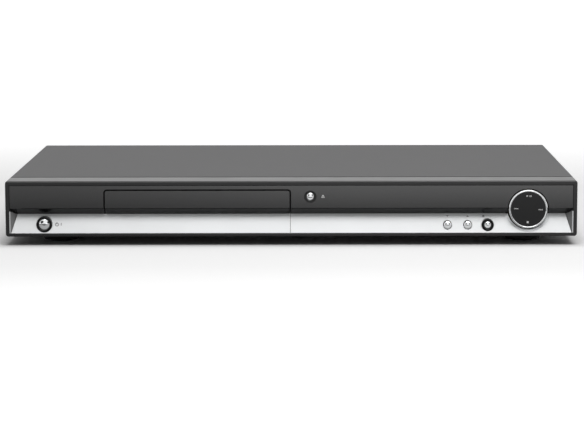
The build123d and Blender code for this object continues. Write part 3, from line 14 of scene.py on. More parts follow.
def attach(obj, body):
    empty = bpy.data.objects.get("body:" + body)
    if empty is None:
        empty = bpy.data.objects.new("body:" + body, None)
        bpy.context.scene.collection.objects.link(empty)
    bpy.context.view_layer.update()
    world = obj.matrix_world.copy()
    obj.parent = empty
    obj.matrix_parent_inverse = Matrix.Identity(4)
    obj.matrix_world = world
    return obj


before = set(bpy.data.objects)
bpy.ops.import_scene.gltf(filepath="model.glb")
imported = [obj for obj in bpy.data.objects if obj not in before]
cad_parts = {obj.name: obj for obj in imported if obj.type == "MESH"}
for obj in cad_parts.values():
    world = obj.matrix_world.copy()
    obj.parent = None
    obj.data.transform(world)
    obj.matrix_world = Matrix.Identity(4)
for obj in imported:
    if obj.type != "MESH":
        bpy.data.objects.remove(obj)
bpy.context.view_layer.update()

log = logging.getLogger("recorder")
MM = 0.001
Colour = tuple[float, float, float]
Point = tuple[float, float]
Span = tuple[Point, Point]
MIX_FIRST, MIX_SECOND, MIX_RESULT = 6, 7, 2
WELD = 1e-7
SHARP = math.radians(32)


# Node groups


class Kind(Enum):
    """Kinds of socket on an effect."""

    VALUE = "NodeSocketFloat"
    COLOUR = "NodeSocketColor"
    VECTOR = "NodeSocketVector"


@dataclass(frozen=True)
class Port:
    """One named socket of an effect, with the value it starts from."""

    name: str
    kind: Kind
    value: object = None


class Bench:
    """Places and joins nodes in one tree."""

    def __init__(self, tree: bpy.types.NodeTree) -> None:
        """Work on a tree."""
        self.tree = tree

    def add(self, kind: str, **settings: object) -> bpy.types.Node:
        """Place a node.

        Args:
            kind: Type name of the node.
            settings: Properties of the node to set.

        Returns:
            The new node.
        """
        node = self.tree.nodes.new(kind)
        for name, value in settings.items():
            setattr(node, name, value)
        return node

    def join(self, source: bpy.types.NodeSocket, target: bpy.types.NodeSocket) -> None:
        """Link an output to an input."""
        self.tree.links.new(source, target)

    def feed(self, target: bpy.types.NodeSocket, value: object) -> None:
        """Give an input a link if the value is a socket, and a plain value otherwise."""
        if isinstance(value, bpy.types.NodeSocket):
            self.join(value, target)
        else:
            target.default_value = value

    def sum(self, operation: str, first: object, second: object = 0.0) -> bpy.types.NodeSocket:
        """Work out one sum.

        Args:
            operation: Name of the Math node's operation.
            first: A number or a socket.
            second: A number or a socket.

        Returns:
            The socket with the result.
        """
        node = self.add("ShaderNodeMath", operation=operation)
        self.feed(node.inputs[0], first)
        self.feed(node.inputs[1], second)
        return node.outputs[0]

    def span(self, value: bpy.types.NodeSocket, source: Point, target: Point) -> bpy.types.NodeSocket:
        """Map a value from one range to another, held at its ends.

        Args:
            value: The socket to map.
            source: Lowest and highest value that come in.
            target: What they become.

        Returns:
            The mapped socket.
        """
        node = self.add("ShaderNodeMapRange")
        self.join(value, node.inputs["Value"])
        for name, number in zip(("From Min", "From Max", "To Min", "To Max"), source + target):
            node.inputs[name].default_value = number
        return node.outputs["Result"]

    def scaled(self, vector: bpy.types.NodeSocket, share: object) -> bpy.types.NodeSocket:
        """A vector or colour times a number or socket."""
        node = self.add("ShaderNodeVectorMath", operation="SCALE")
        self.join(vector, node.inputs[0])
        self.feed(node.inputs["Scale"], share)
        return node.outputs[0]

    def split(self, vector: bpy.types.NodeSocket) -> bpy.types.NodeOutputs:
        """X, Y and Z of a vector."""
        node = self.add("ShaderNodeSeparateXYZ")
        self.join(vector, node.inputs[0])
        return node.outputs

    def normal(self) -> bpy.types.NodeSocket:
        """The surface's own normal."""
        return self.add("ShaderNodeNewGeometry").outputs["Normal"]

    def places(self, size: object) -> bpy.types.NodeSocket:
        """Object coordinates counted in pieces of a size.

        Args:
            size: Length of one piece in metres, as a number or a socket.

        Returns:
            The scaled coordinates.
        """
        return self.scaled(self.add("ShaderNodeTexCoord").outputs["Object"], self.sum("DIVIDE", 1.0, size))

    def noise(self, places: bpy.types.NodeSocket, detail: float = 2.0) -> bpy.types.NodeSocket:
        """Smooth noise at scaled coordinates."""
        node = self.add("ShaderNodeTexNoise")
        node.inputs["Scale"].default_value = 1.0
        node.inputs["Detail"].default_value = detail
        self.join(places, node.inputs["Vector"])
        return node.outputs[0]


class Effect:
    """A shader node group that several finishes share, built on its first use."""

    title: ClassVar[str]
    takes: ClassVar[tuple[Port, ...]]
    gives: ClassVar[tuple[Port, ...]]

    def wire(self, bench: Bench, enter: bpy.types.NodeOutputs, leave: bpy.types.NodeInputs) -> None:
        """Fill the group with its nodes."""
        raise NotImplementedError

    def tree(self) -> bpy.types.NodeTree:
        """Find or make the group.

        Returns:
            The node tree of the group.
        """
        tree = bpy.data.node_groups.get(self.title)
        if tree is not None:
            return tree
        tree = bpy.data.node_groups.new(self.title, "ShaderNodeTree")
        for port in self.takes:
            socket = tree.interface.new_socket(name=port.name, in_out="INPUT", socket_type=port.kind.value)
            if port.value is not None:
                socket.default_value = port.value
        for port in self.gives:
            tree.interface.new_socket(name=port.name, in_out="OUTPUT", socket_type=port.kind.value)
        bench = Bench(tree)
        enter = bench.add("NodeGroupInput")
        leave = bench.add("NodeGroupOutput")
        self.wire(bench, enter.outputs, leave.inputs)
        return tree

    def place(self, bench: Bench, **values: object) -> bpy.types.NodeOutputs:
        """Put the effect in a material.

        Args:
            bench: Bench of the material's tree.
            values: A number or socket for each named input, with _ for a space.

        Returns:
            The outputs of the placed group.
        """
        node = bench.add("ShaderNodeGroup")
        node.node_tree = self.tree()
        for name, value in values.items():
            bench.feed(node.inputs[name.replace("_", " ").title()], value)
        return node.outputs


class MouldGrain(Effect):
    """Fine grain of a moulded, sprayed or cast surface."""

    title = "mould_grain"
    takes = (Port("Size", Kind.VALUE, 0.0003),)
    gives = (Port("Height", Kind.VALUE), Port("Speck", Kind.VALUE))

    def wire(self, bench: Bench, enter: bpy.types.NodeOutputs, leave: bpy.types.NodeInputs) -> None:
        """Two octaves of bumps, and sparse specks from the coarser one."""
        places = bench.places(enter["Size"])
        height = bench.noise(places, 3.0)
        bench.join(height, leave["Height"])
        bench.join(bench.span(height, (0.56, 0.7), (0.0, 1.0)), leave["Speck"])


class ToneDrift(Effect):
    """Slow change of a colour over a surface."""

    title = "tone_drift"
    takes = (Port("Tone", Kind.COLOUR, (0.5, 0.5, 0.5, 1.0)), Port("Amount", Kind.VALUE, 0.06),
             Port("Size", Kind.VALUE, 0.03))
    gives = (Port("Tone", Kind.COLOUR),)

    def wire(self, bench: Bench, enter: bpy.types.NodeOutputs, leave: bpy.types.NodeInputs) -> None:
        """Multiply the tone by one plus or minus the amount."""
        cloud = bench.noise(bench.places(enter["Size"]), 3.0)
        swing = bench.sum("MULTIPLY", bench.sum("SUBTRACT", cloud, 0.5), enter["Amount"])
        share = bench.sum("ADD", 1.0, bench.sum("MULTIPLY", swing, 2.0))
        bench.join(bench.scaled(enter["Tone"], share), leave["Tone"])


class PolishDrift(Effect):
    """Patches that are a little duller or brighter than the rest."""

    title = "polish_drift"
    takes = (Port("Roughness", Kind.VALUE, 0.4), Port("Amount", Kind.VALUE, 0.08),
             Port("Size", Kind.VALUE, 0.02))
    gives = (Port("Roughness", Kind.VALUE),)

    def wire(self, bench: Bench, enter: bpy.types.NodeOutputs, leave: bpy.types.NodeInputs) -> None:
        """Add a share of a cloudy noise to the roughness."""
        cloud = bench.noise(bench.places(enter["Size"]), 4.0)
        swing = bench.sum("MULTIPLY", bench.sum("SUBTRACT", cloud, 0.5), enter["Amount"])
        bench.join(bench.sum("ADD", enter["Roughness"], swing), leave["Roughness"])


class DrawnLines(Effect):
    """Fine parallel lines of rolled or brushed sheet."""

    title = "drawn_lines"
    takes = (Port("Size", Kind.VALUE, 0.0002), Port("Stretch", Kind.VECTOR, (0.02, 1.0, 1.0)))
    gives = (Port("Height", Kind.VALUE), Port("Shade", Kind.VALUE))

    def wire(self, bench: Bench, enter: bpy.types.NodeOutputs, leave: bpy.types.NodeInputs) -> None:
        """Noise that is drawn out along one axis."""
        drawn = bench.add("ShaderNodeVectorMath", operation="MULTIPLY")
        bench.join(bench.places(enter["Size"]), drawn.inputs[0])
        bench.join(enter["Stretch"], drawn.inputs[1])
        lines = bench.noise(drawn.outputs[0], 4.0)
        bench.join(lines, leave["Height"])
        bench.join(bench.span(lines, (0.3, 0.7), (0.88, 1.08)), leave["Shade"])


class SoftEdge(Effect):
    """Rounded edges, and a mask of where they are worn bright."""

    title = "soft_edge"
    takes = (Port("Radius", Kind.VALUE, 0.0003),)
    gives = (Port("Normal", Kind.VECTOR), Port("Worn", Kind.VALUE))

    def wire(self, bench: Bench, enter: bpy.types.NodeOutputs, leave: bpy.types.NodeInputs) -> None:
        """Compare the rounded normal with the surface's own."""
        bevel = bench.add("ShaderNodeBevel", samples=4)
        bench.join(enter["Radius"], bevel.inputs["Radius"])
        match = bench.add("ShaderNodeVectorMath", operation="DOT_PRODUCT")
        bench.join(bevel.outputs[0], match.inputs[0])
        bench.join(bench.normal(), match.inputs[1])
        off = bench.sum("SUBTRACT", 1.0, match.outputs["Value"])
        patchy = bench.span(bench.noise(bench.places(0.004), 4.0), (0.4, 0.62), (0.2, 1.0))
        bench.join(bench.sum("MULTIPLY", bench.span(off, (0.02, 0.3), (0.0, 1.0)), patchy), leave["Worn"])
        bench.join(bevel.outputs[0], leave["Normal"])


class SideFacing(Effect):
    """Mask of what faces left or right, used to paint shade on the sides."""

    title = "side_facing"
    takes = (Port("Least", Kind.VALUE, 0.5),)
    gives = (Port("Mask", Kind.VALUE),)

    def wire(self, bench: Bench, enter: bpy.types.NodeOutputs, leave: bpy.types.NodeInputs) -> None:
        """One where the normal leans sideways by more than the least share."""
        lean = bench.sum("ABSOLUTE", bench.split(bench.normal())["X"])
        bench.join(bench.sum("GREATER_THAN", lean, enter["Least"]), leave["Mask"])


class SettledDust(Effect):
    """Thin dust on what faces up."""

    title = "settled_dust"
    takes = (Port("Amount", Kind.VALUE, 0.1),)
    gives = (Port("Mask", Kind.VALUE),)

    def wire(self, bench: Bench, enter: bpy.types.NodeOutputs, leave: bpy.types.NodeInputs) -> None:
        """Cloud and fine specks, where the normal points up."""
        facing = bench.span(bench.split(bench.normal())["Z"], (0.7, 1.0), (0.0, 1.0))
        cloud = bench.span(bench.noise(bench.places(0.02), 5.0), (0.4, 0.75), (0.1, 1.0))
        fine = bench.span(bench.noise(bench.places(0.0007), 2.0), (0.5, 0.75), (0.4, 1.0))
        mask = bench.sum("MULTIPLY", bench.sum("MULTIPLY", cloud, fine), facing)
        bench.join(bench.sum("MULTIPLY", mask, enter["Amount"]), leave["Mask"])


# Finishes


MADE: dict[str, bpy.types.Material] = {}


@dataclass(frozen=True)
class Finish:
    """A plain moulded finish, and the base of the others.

    Attributes:
        name: Name of the material.
        tone: Linear colour of the surface.
        roughness: Middle roughness.
        specular: Specular level of the shader.
        drift: Share by which the tone changes over the surface.
        polish: Amount by which the roughness changes.
        grain: Size of the grain in metres.
        relief: Depth of the grain in metres.
        edge: Radius of the rounded edges in metres.
        wear: Share of the worn tone on edges.
        worn_tone: Colour that shows where an edge is worn.
        dust: Share of dust on top.
        metallic: Metallic share of the shader.
        coat: Weight of the clear coat.
        coat_roughness: Roughness of the clear coat.
    """

    dust_tone: ClassVar[Colour] = (0.42, 0.41, 0.39)
    drift_size: ClassVar[float] = 0.03
    polish_size: ClassVar[float] = 0.02

    name: str
    tone: Colour
    roughness: float = 0.4
    specular: float = 0.5
    drift: float = 0.05
    polish: float = 0.08
    grain: float = 0.0004
    relief: float = 0.000008
    edge: float = 0.0002
    wear: float = 0.15
    worn_tone: Colour = (0.25, 0.25, 0.25)
    dust: float = 0.0
    metallic: float = 0.0
    coat: float = 0.0
    coat_roughness: float = 0.1

    def blend(self, bench: Bench, tone: bpy.types.NodeSocket, other: Colour,
              mask: bpy.types.NodeSocket) -> bpy.types.NodeSocket:
        """Mix a second colour in by a mask.

        Args:
            bench: Bench of the material.
            tone: Socket with the first colour.
            other: The second colour.
            mask: Socket with the share of the second colour.

        Returns:
            The mixed colour.
        """
        mix = bench.add("ShaderNodeMix", data_type="RGBA")
        bench.join(mask, mix.inputs[0])
        bench.join(tone, mix.inputs[MIX_FIRST])
        mix.inputs[MIX_SECOND].default_value = (*other, 1.0)
        return mix.outputs[MIX_RESULT]

    def tint(self, bench: Bench, tone: bpy.types.NodeSocket) -> bpy.types.NodeSocket:
        """Change the drifting tone, which a plain finish leaves as it is."""
        return tone

    def relief_height(self, bench: Bench) -> bpy.types.NodeSocket:
        """Height that the bump follows."""
        return MouldGrain().place(bench, size=self.grain)["Height"]

    def build(self) -> bpy.types.Material:
        """Make the material once, in place of the frame's plain one of the same name.

        Returns:
            The finished material.
        """
        if self.name in MADE:
            return MADE[self.name]
        plain = bpy.data.materials.get(self.name)
        if plain is not None:
            plain.name = f"{self.name}_plain"
        material = MADE[self.name] = bpy.data.materials.new(self.name)
        material.use_nodes = True
        bench = Bench(material.node_tree)
        shader = material.node_tree.nodes["Principled BSDF"]
        shader.inputs["Metallic"].default_value = self.metallic
        shader.inputs["Specular IOR Level"].default_value = self.specular
        shader.inputs["Coat Weight"].default_value = self.coat
        shader.inputs["Coat Roughness"].default_value = self.coat_roughness
        edge = SoftEdge().place(bench, radius=self.edge)
        tone = ToneDrift().place(bench, tone=(*self.tone, 1.0), amount=self.drift, size=self.drift_size)["Tone"]
        tone = self.tint(bench, tone)
        tone = self.blend(bench, tone, self.worn_tone, bench.sum("MULTIPLY", edge["Worn"], self.wear))
        if self.dust:
            mask = SettledDust().place(bench, amount=self.dust)["Mask"]
            tone = self.blend(bench, tone, self.dust_tone, mask)
        bench.join(tone, shader.inputs["Base Color"])
        polish = PolishDrift().place(bench, roughness=self.roughness, amount=self.polish, size=self.polish_size)
        bench.join(polish["Roughness"], shader.inputs["Roughness"])
        bump = bench.add("ShaderNodeBump")
        bump.inputs["Strength"].default_value = 1.0
        bump.inputs["Distance"].default_value = self.relief
        bench.join(self.relief_height(bench), bump.inputs["Height"])
        bench.join(edge["Normal"], bump.inputs["Normal"])
        bench.join(bump.outputs[0], shader.inputs["Normal"])
        self.touch(bench, shader)
        return material

    def touch(self, bench: Bench, shader: bpy.types.Node) -> None:
        """Last settings of a special finish."""


@dataclass(frozen=True)
class Lacquer(Finish):
    """Silver lacquer with fine flakes in it, and painted shade on what faces left or right."""

    flake: float = 0.00025
    flake_share: float = 0.12
    flake_tone: Colour = (0.95, 0.95, 0.96)
    side_shade_tone: Colour = (0.21, 0.21, 0.21)
    side_shade_lean: float = 0.5

    def tint(self, bench: Bench, tone: bpy.types.NodeSocket) -> bpy.types.NodeSocket:
        """Lighten the flakes that lie flat, and darken what faces left or right as painted shade."""
        speck = MouldGrain().place(bench, size=self.flake)["Speck"]
        tone = self.blend(bench, tone, self.flake_tone, bench.sum("MULTIPLY", speck, self.flake_share))
        # painted shade: the cheeks that face left or right are darkened in the colour itself
        return self.blend(bench, tone, self.side_shade_tone, SideFacing().place(bench, least=self.side_shade_lean)["Mask"])


@dataclass(frozen=True)
class Panel(Finish):
    """Smoked plastic with a hard coat on its faces, faded out on its overhang so that the overhang shows darker
    as painted shade.
    """

    coat_index: float = 1.65
    shaded_overhang: Point = (-0.3, -0.1)

    def touch(self, bench: Bench, shader: bpy.types.Node) -> None:
        """Coat what faces forwards or up, and leave what faces down uncoated and darker as painted shade."""
        shader.inputs["Coat IOR"].default_value = self.coat_index
        upward = bench.split(bench.normal())["Z"]
        # painted shade: the coat fades out where the normal turns down
        bench.join(bench.span(upward, self.shaded_overhang, (0.0, self.coat)), shader.inputs["Coat Weight"])


@dataclass(frozen=True)
class SheetMetal(Finish):
    """Rolled, brushed or drawn metal with fine lines."""

    metallic: float = 1.0
    stretch: tuple[float, float, float] = (0.02, 1.0, 1.0)
    wear: float = 0.1
    worn_tone: Colour = (0.8, 0.8, 0.8)

    def tint(self, bench: Bench, tone: bpy.types.NodeSocket) -> bpy.types.NodeSocket:
        """Shade the tone by the lines."""
        shade = DrawnLines().place(bench, size=self.grain, stretch=self.stretch)["Shade"]
        return bench.scaled(tone, shade)

    def relief_height(self, bench: Bench) -> bpy.types.NodeSocket:
        """Height of the lines."""
        return DrawnLines().place(bench, size=self.grain, stretch=self.stretch)["Height"]


@dataclass(frozen=True)
class Laminate(Finish):
    """Circuit board with conductor tracks under its mask."""

    track: Colour = (0.1, 0.35, 0.16)
    pitch: float = 0.0025
    jumble: float = 0.55
    pad_tone: Colour = (0.62, 0.6, 0.52)
    pad_share: float = 0.8

    def cells(self, bench: Bench, feature: str) -> bpy.types.NodeSocket:
        """Distance to a feature of cells of the board's pitch."""
        node = bench.add("ShaderNodeTexVoronoi", feature=feature)
        node.inputs["Scale"].default_value = 1.0
        node.inputs["Randomness"].default_value = self.jumble
        bench.join(bench.places(self.pitch), node.inputs["Vector"])
        return node.outputs["Distance"]

    def tint(self, bench: Bench, tone: bpy.types.NodeSocket) -> bpy.types.NodeSocket:
        """Draw tracks along the borders of cells, and a pad in each cell."""
        lines = bench.span(self.cells(bench, "DISTANCE_TO_EDGE"), (0.07, 0.1), (1.0, 0.0))
        dots = bench.span(self.cells(bench, "F1"), (0.16, 0.2), (1.0, 0.0))
        tone = self.blend(bench, tone, self.track, lines)
        return self.blend(bench, tone, self.pad_tone, bench.sum("MULTIPLY", dots, self.pad_share))


@dataclass(frozen=True)
class Glazing(Finish):
    """Dark or clear glass."""

    clear: float = 1.0
    ior: float = 1.5

    def touch(self, bench: Bench, shader: bpy.types.Node) -> None:
        """Let light through."""
        shader.inputs["Transmission Weight"].default_value = self.clear
        shader.inputs["IOR"].default_value = self.ior


@dataclass(frozen=True)
class Finishes:
    """Every finish of the recorder."""

    cover_paint: Finish = Finish("cover_paint", (0.055, 0.055, 0.056), 0.55, grain=0.00035, relief=0.00002,
                                 specular=0.3, drift=0.03, polish=0.04, wear=0.3, dust=0.03)
    zinc_steel: Finish = SheetMetal("zinc_steel", (0.62, 0.63, 0.64), 0.38, grain=0.0006, relief=0.000004)
    bezel_black: Finish = Finish("bezel_black", (0.008, 0.008, 0.0085), 0.32, relief=0.000004, edge=0.0004,
                                 specular=0.52, wear=0.3, worn_tone=(0.035, 0.035, 0.036))
    panel_smoke: Finish = Panel("panel_smoke", (0.006, 0.006, 0.0065), 0.2, relief=0.000002,
                                 specular=0.3, polish=0.05, wear=0.06, coat=1.0, coat_roughness=0.16)
    silver_paint: Finish = Lacquer("silver_paint", (0.58, 0.59, 0.595), 0.4, metallic=0.35,
                                   relief=0.000003, drift=0.02, wear=0.2, worn_tone=(0.85, 0.85, 0.85))
    chrome_plate: Finish = Finish("chrome_plate", (0.85, 0.86, 0.87), 0.07, metallic=1.0, drift=0.02,
                                  polish=0.04, relief=0.000001, wear=0.0)
    ring_black: Finish = Finish("ring_black", (0.004, 0.004, 0.004), 0.3, relief=0.000002, specular=0.2,
                                wear=0.2, worn_tone=(0.03, 0.03, 0.03))
    dial_black: Finish = Finish("dial_black", (0.008, 0.008, 0.0085), 0.3, relief=0.000004, specular=0.35,
                                wear=0.3, worn_tone=(0.035, 0.035, 0.036))
    foot_black: Finish = Finish("foot_black", (0.02, 0.02, 0.02), 0.55, relief=0.00002)
    foot_rubber: Finish = Finish("foot_rubber", (0.03, 0.03, 0.03), 0.85, specular=0.25, relief=0.00002)
    loader_black: Finish = Finish("loader_black", (0.028, 0.028, 0.03), 0.5, relief=0.00001)
    tray_black: Finish = Finish("tray_black", (0.035, 0.035, 0.037), 0.42, relief=0.00001)
    gear_white: Finish = Finish("gear_white", (0.78, 0.76, 0.7), 0.42, relief=0.000006, wear=0.0)
    belt_rubber: Finish = Finish("belt_rubber", (0.015, 0.015, 0.015), 0.8, specular=0.25)
    ground_steel: Finish = SheetMetal("ground_steel", (0.72, 0.72, 0.73), 0.16, grain=0.0003,
                                      stretch=(1.0, 0.03, 1.0), relief=0.000002)
    motor_can: Finish = SheetMetal("motor_can", (0.66, 0.66, 0.67), 0.3, grain=0.0004,
                                   stretch=(1.0, 1.0, 0.04), relief=0.000003)
    bridge_steel: Finish = SheetMetal("bridge_steel", (0.6, 0.61, 0.62), 0.34, grain=0.0005,
                                      relief=0.000004)
    lens_glass: Finish = Glazing("lens_glass", (0.7, 0.75, 0.95), 0.03, relief=0.0000003, wear=0.0)
    board_green: Finish = Laminate("board_green", (0.03, 0.17, 0.07), 0.35, relief=0.00001, wear=0.0)
    board_tan: Finish = Laminate("board_tan", (0.5, 0.35, 0.18), 0.5, track=(0.42, 0.27, 0.12),
                                 relief=0.00001, wear=0.0)
    chip_black: Finish = Finish("chip_black", (0.02, 0.02, 0.02), 0.5)
    sink_black: Finish = Finish("sink_black", (0.05, 0.05, 0.055), 0.45, metallic=0.6, wear=0.4)
    ferrite: Finish = Finish("ferrite", (0.1, 0.09, 0.09), 0.65, relief=0.00003)
    can_sleeve: Finish = Finish("can_sleeve", (0.03, 0.035, 0.06), 0.3, relief=0.000004)
    tin_plate: Finish = SheetMetal("tin_plate", (0.7, 0.7, 0.68), 0.26, grain=0.0008, relief=0.000006)
    jack_black: Finish = Finish("jack_black", (0.025, 0.025, 0.025), 0.45)
    gold_plate: Finish = Finish("gold_plate", (0.78, 0.6, 0.28), 0.18, metallic=1.0, drift=0.04,
                                relief=0.000002, wear=0.0)
    switch_dark: Finish = Finish("switch_dark", (0.06, 0.06, 0.06), 0.5)
    screw_zinc: Finish = SheetMetal("screw_zinc", (0.6, 0.6, 0.58), 0.3, grain=0.0003,
                                    stretch=(1.0, 1.0, 1.0), relief=0.000004)
    display_glass: Finish = Finish("display_glass", (0.02, 0.03, 0.03), 0.08, coat=0.5, relief=0.0000005)
    insert_yellow: Finish = Finish("insert_yellow", (0.75, 0.48, 0.03), 0.4, wear=0.0)
    insert_white: Finish = Finish("insert_white", (0.72, 0.71, 0.68), 0.4, wear=0.0)
    insert_red: Finish = Finish("insert_red", (0.5, 0.02, 0.02), 0.4, wear=0.0)
    insert_green: Finish = Finish("insert_green", (0.03, 0.3, 0.07), 0.4, wear=0.0)
    insert_blue: Finish = Finish("insert_blue", (0.02, 0.08, 0.42), 0.4, wear=0.0)
    print_white: Finish = Finish("print_white", (0.62, 0.62, 0.62), 0.45, relief=0.000002, wear=0.0)
    print_grey: Finish = Finish("print_grey", (0.17, 0.17, 0.17), 0.45, relief=0.000002, wear=0.0)


FINISHES = Finishes()


# Mesh helpers


@dataclass(frozen=True)
class Flat:
    """A flat surface that marks lie on.

    Attributes:
        origin: Point on the surface, in millimetres.
        right: Direction of a mark's width.
        up: Direction of a mark's height.
    """

    origin: tuple[float, float, float]
    right: tuple[float, float, float] = (1.0, 0.0, 0.0)
    up: tuple[float, float, float] = (0.0, 0.0, 1.0)

    def point(self, across: float, along: float, out: float) -> Vector:
        """Point on or over the surface.

        Args:
            across: Millimetres along the width.
            along: Millimetres along the height.
            out: Millimetres out of the surface.

        Returns:
            The point in metres.
        """
        right = Vector(self.right).normalized()
        up = Vector(self.up).normalized()
        outward = right.cross(up)
        return (Vector(self.origin) + right * across + up * along + outward * out) * MM


@dataclass
class Maker:
    """Builds one mesh piece out of simple forms, in millimetres."""

    name: str
    body: str
    finish: Finish
    mesh: bmesh.types.BMesh = field(default_factory=bmesh.new)
    smooth: bool = True

    def lathe(self, points: Sequence[Point], centre: tuple[float, float, float], steps: int = 48) -> None:
        """Turn an outline about a line along Y.

        Args:
            points: (radius, place along the axis) of the outline, in order.
            centre: A point on the axis.
            steps: Faces round the turn.
        """
        rings = []
        for radius, along in points:
            ring = []
            for step in range(steps if radius > 0 else 1):
                angle = 2 * math.pi * step / steps
                one, two = radius * math.cos(angle), radius * math.sin(angle)
                ring.append(self.mesh.verts.new((Vector(centre) + Vector((one, along, two))) * MM))
            rings.append(ring)
        for first, second in zip(rings, rings[1:]):
            for step in range(steps):
                corners = [first[step % len(first)], first[(step + 1) % len(first)],
                           second[(step + 1) % len(second)], second[step % len(second)]]
                kept = list(dict.fromkeys(corners))
                if len(kept) > 2:
                    self.mesh.faces.new(kept)

    def mark(self, flat: Flat, outline: Sequence[Point], high: float = 0.03, low: float = -0.02) -> None:
        """Lay a thin plate of one outline on a flat surface.

        Args:
            flat: The surface.
            outline: Corners of the mark in millimetres, counted round.
            high: How far it stands out of the surface.
            low: Where its back is.
        """
        front = [self.mesh.verts.new(flat.point(x, y, high)) for x, y in outline]
        rear = [self.mesh.verts.new(flat.point(x, y, low)) for x, y in outline]
        self.mesh.faces.new(front)
        self.mesh.faces.new(list(reversed(rear)))
        for index in range(len(outline)):
            following = (index + 1) % len(outline)
            self.mesh.faces.new((front[index], rear[index], rear[following], front[following]))

    def ring_mark(self, flat: Flat, centre: Point, outer: float, inner: float, steps: int = 28) -> None:
        """Lay a thin ring on a flat surface.

        Args:
            flat: The surface.
            centre: Middle of the ring.
            outer: Outer radius.
            inner: Inner radius.
            steps: Pieces round the ring.
        """
        for step in range(steps):
            corners = []
            for radius, turn in ((outer, step), (outer, step + 1), (inner, step + 1), (inner, step)):
                angle = 2 * math.pi * turn / steps
                corners.append((centre[0] + radius * math.cos(angle), centre[1] + radius * math.sin(angle)))
            self.mark(flat, corners)

    def finished(self) -> bpy.types.Object:
        """Turn the forms into an object that rides on its body.

        Returns:
            The new object.
        """
        bmesh.ops.remove_doubles(self.mesh, verts=self.mesh.verts, dist=WELD)
        bmesh.ops.recalc_face_normals(self.mesh, faces=self.mesh.faces)
        data = bpy.data.meshes.new(self.name)
        self.mesh.to_mesh(data)
        self.mesh.free()
        if self.smooth:
            data.shade_smooth()
            data.set_sharp_from_angle(angle=SHARP)
        data.materials.append(self.finish.build())
        piece = bpy.data.objects.new(self.name, data)
        bpy.context.scene.collection.objects.link(piece)
        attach(piece, self.body)
        log.info("made %s", self.name)
        return piece


def rectangle(centre: Point, wide: float, high: float) -> list[Point]:
    """Corners of a rectangle round a centre."""
    x, y = centre
    return [(x - wide / 2, y - high / 2), (x + wide / 2, y - high / 2), (x + wide / 2, y + high / 2),
            (x - wide / 2, y + high / 2)]


def triangle(centre: Point, wide: float, high: float, turn: float) -> list[Point]:
    """Corners of a triangle that points up, turned by an angle in degrees.

    Args:
        centre: Middle of its box.
        wide: Width of its base.
        high: Height over its base.
        turn: Turn to the left in degrees.

    Returns:
        Its three corners.
    """
    angle = math.radians(turn)
    corners = []
    for x, y in ((-wide / 2, -high / 2), (wide / 2, -high / 2), (0.0, high / 2)):
        corners.append((centre[0] + x * math.cos(angle) - y * math.sin(angle),
                        centre[1] + x * math.sin(angle) + y * math.cos(angle)))
    return corners


# The recorder's pieces


@dataclass
class Assembly:
    """A group of CAD pieces that are dressed together."""

    nodes: dict[str, Finish] = field(default_factory=dict)

    def dress(self) -> None:
        """Give each CAD piece its finish."""
        for name, finish in self.nodes.items():
            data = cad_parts[name].data
            data.materials.clear()
            data.materials.append(finish.build())
            log.info("dressed %s with %s", name, finish.name)

    def build(self) -> None:
        """Dress the group and add what belongs to it."""
        self.dress()


@dataclass
class Case(Assembly):
    """Cover, floor, feet and screws."""

    nodes: dict[str, Finish] = field(default_factory=lambda: {
        "top_cover": FINISHES.cover_paint, "bottom_chassis": FINISHES.zinc_steel,
        "rear_panel": FINISHES.zinc_steel, "feet": FINISHES.foot_black,
        "foot_pads": FINISHES.foot_rubber, "case_screws": FINISHES.screw_zinc})


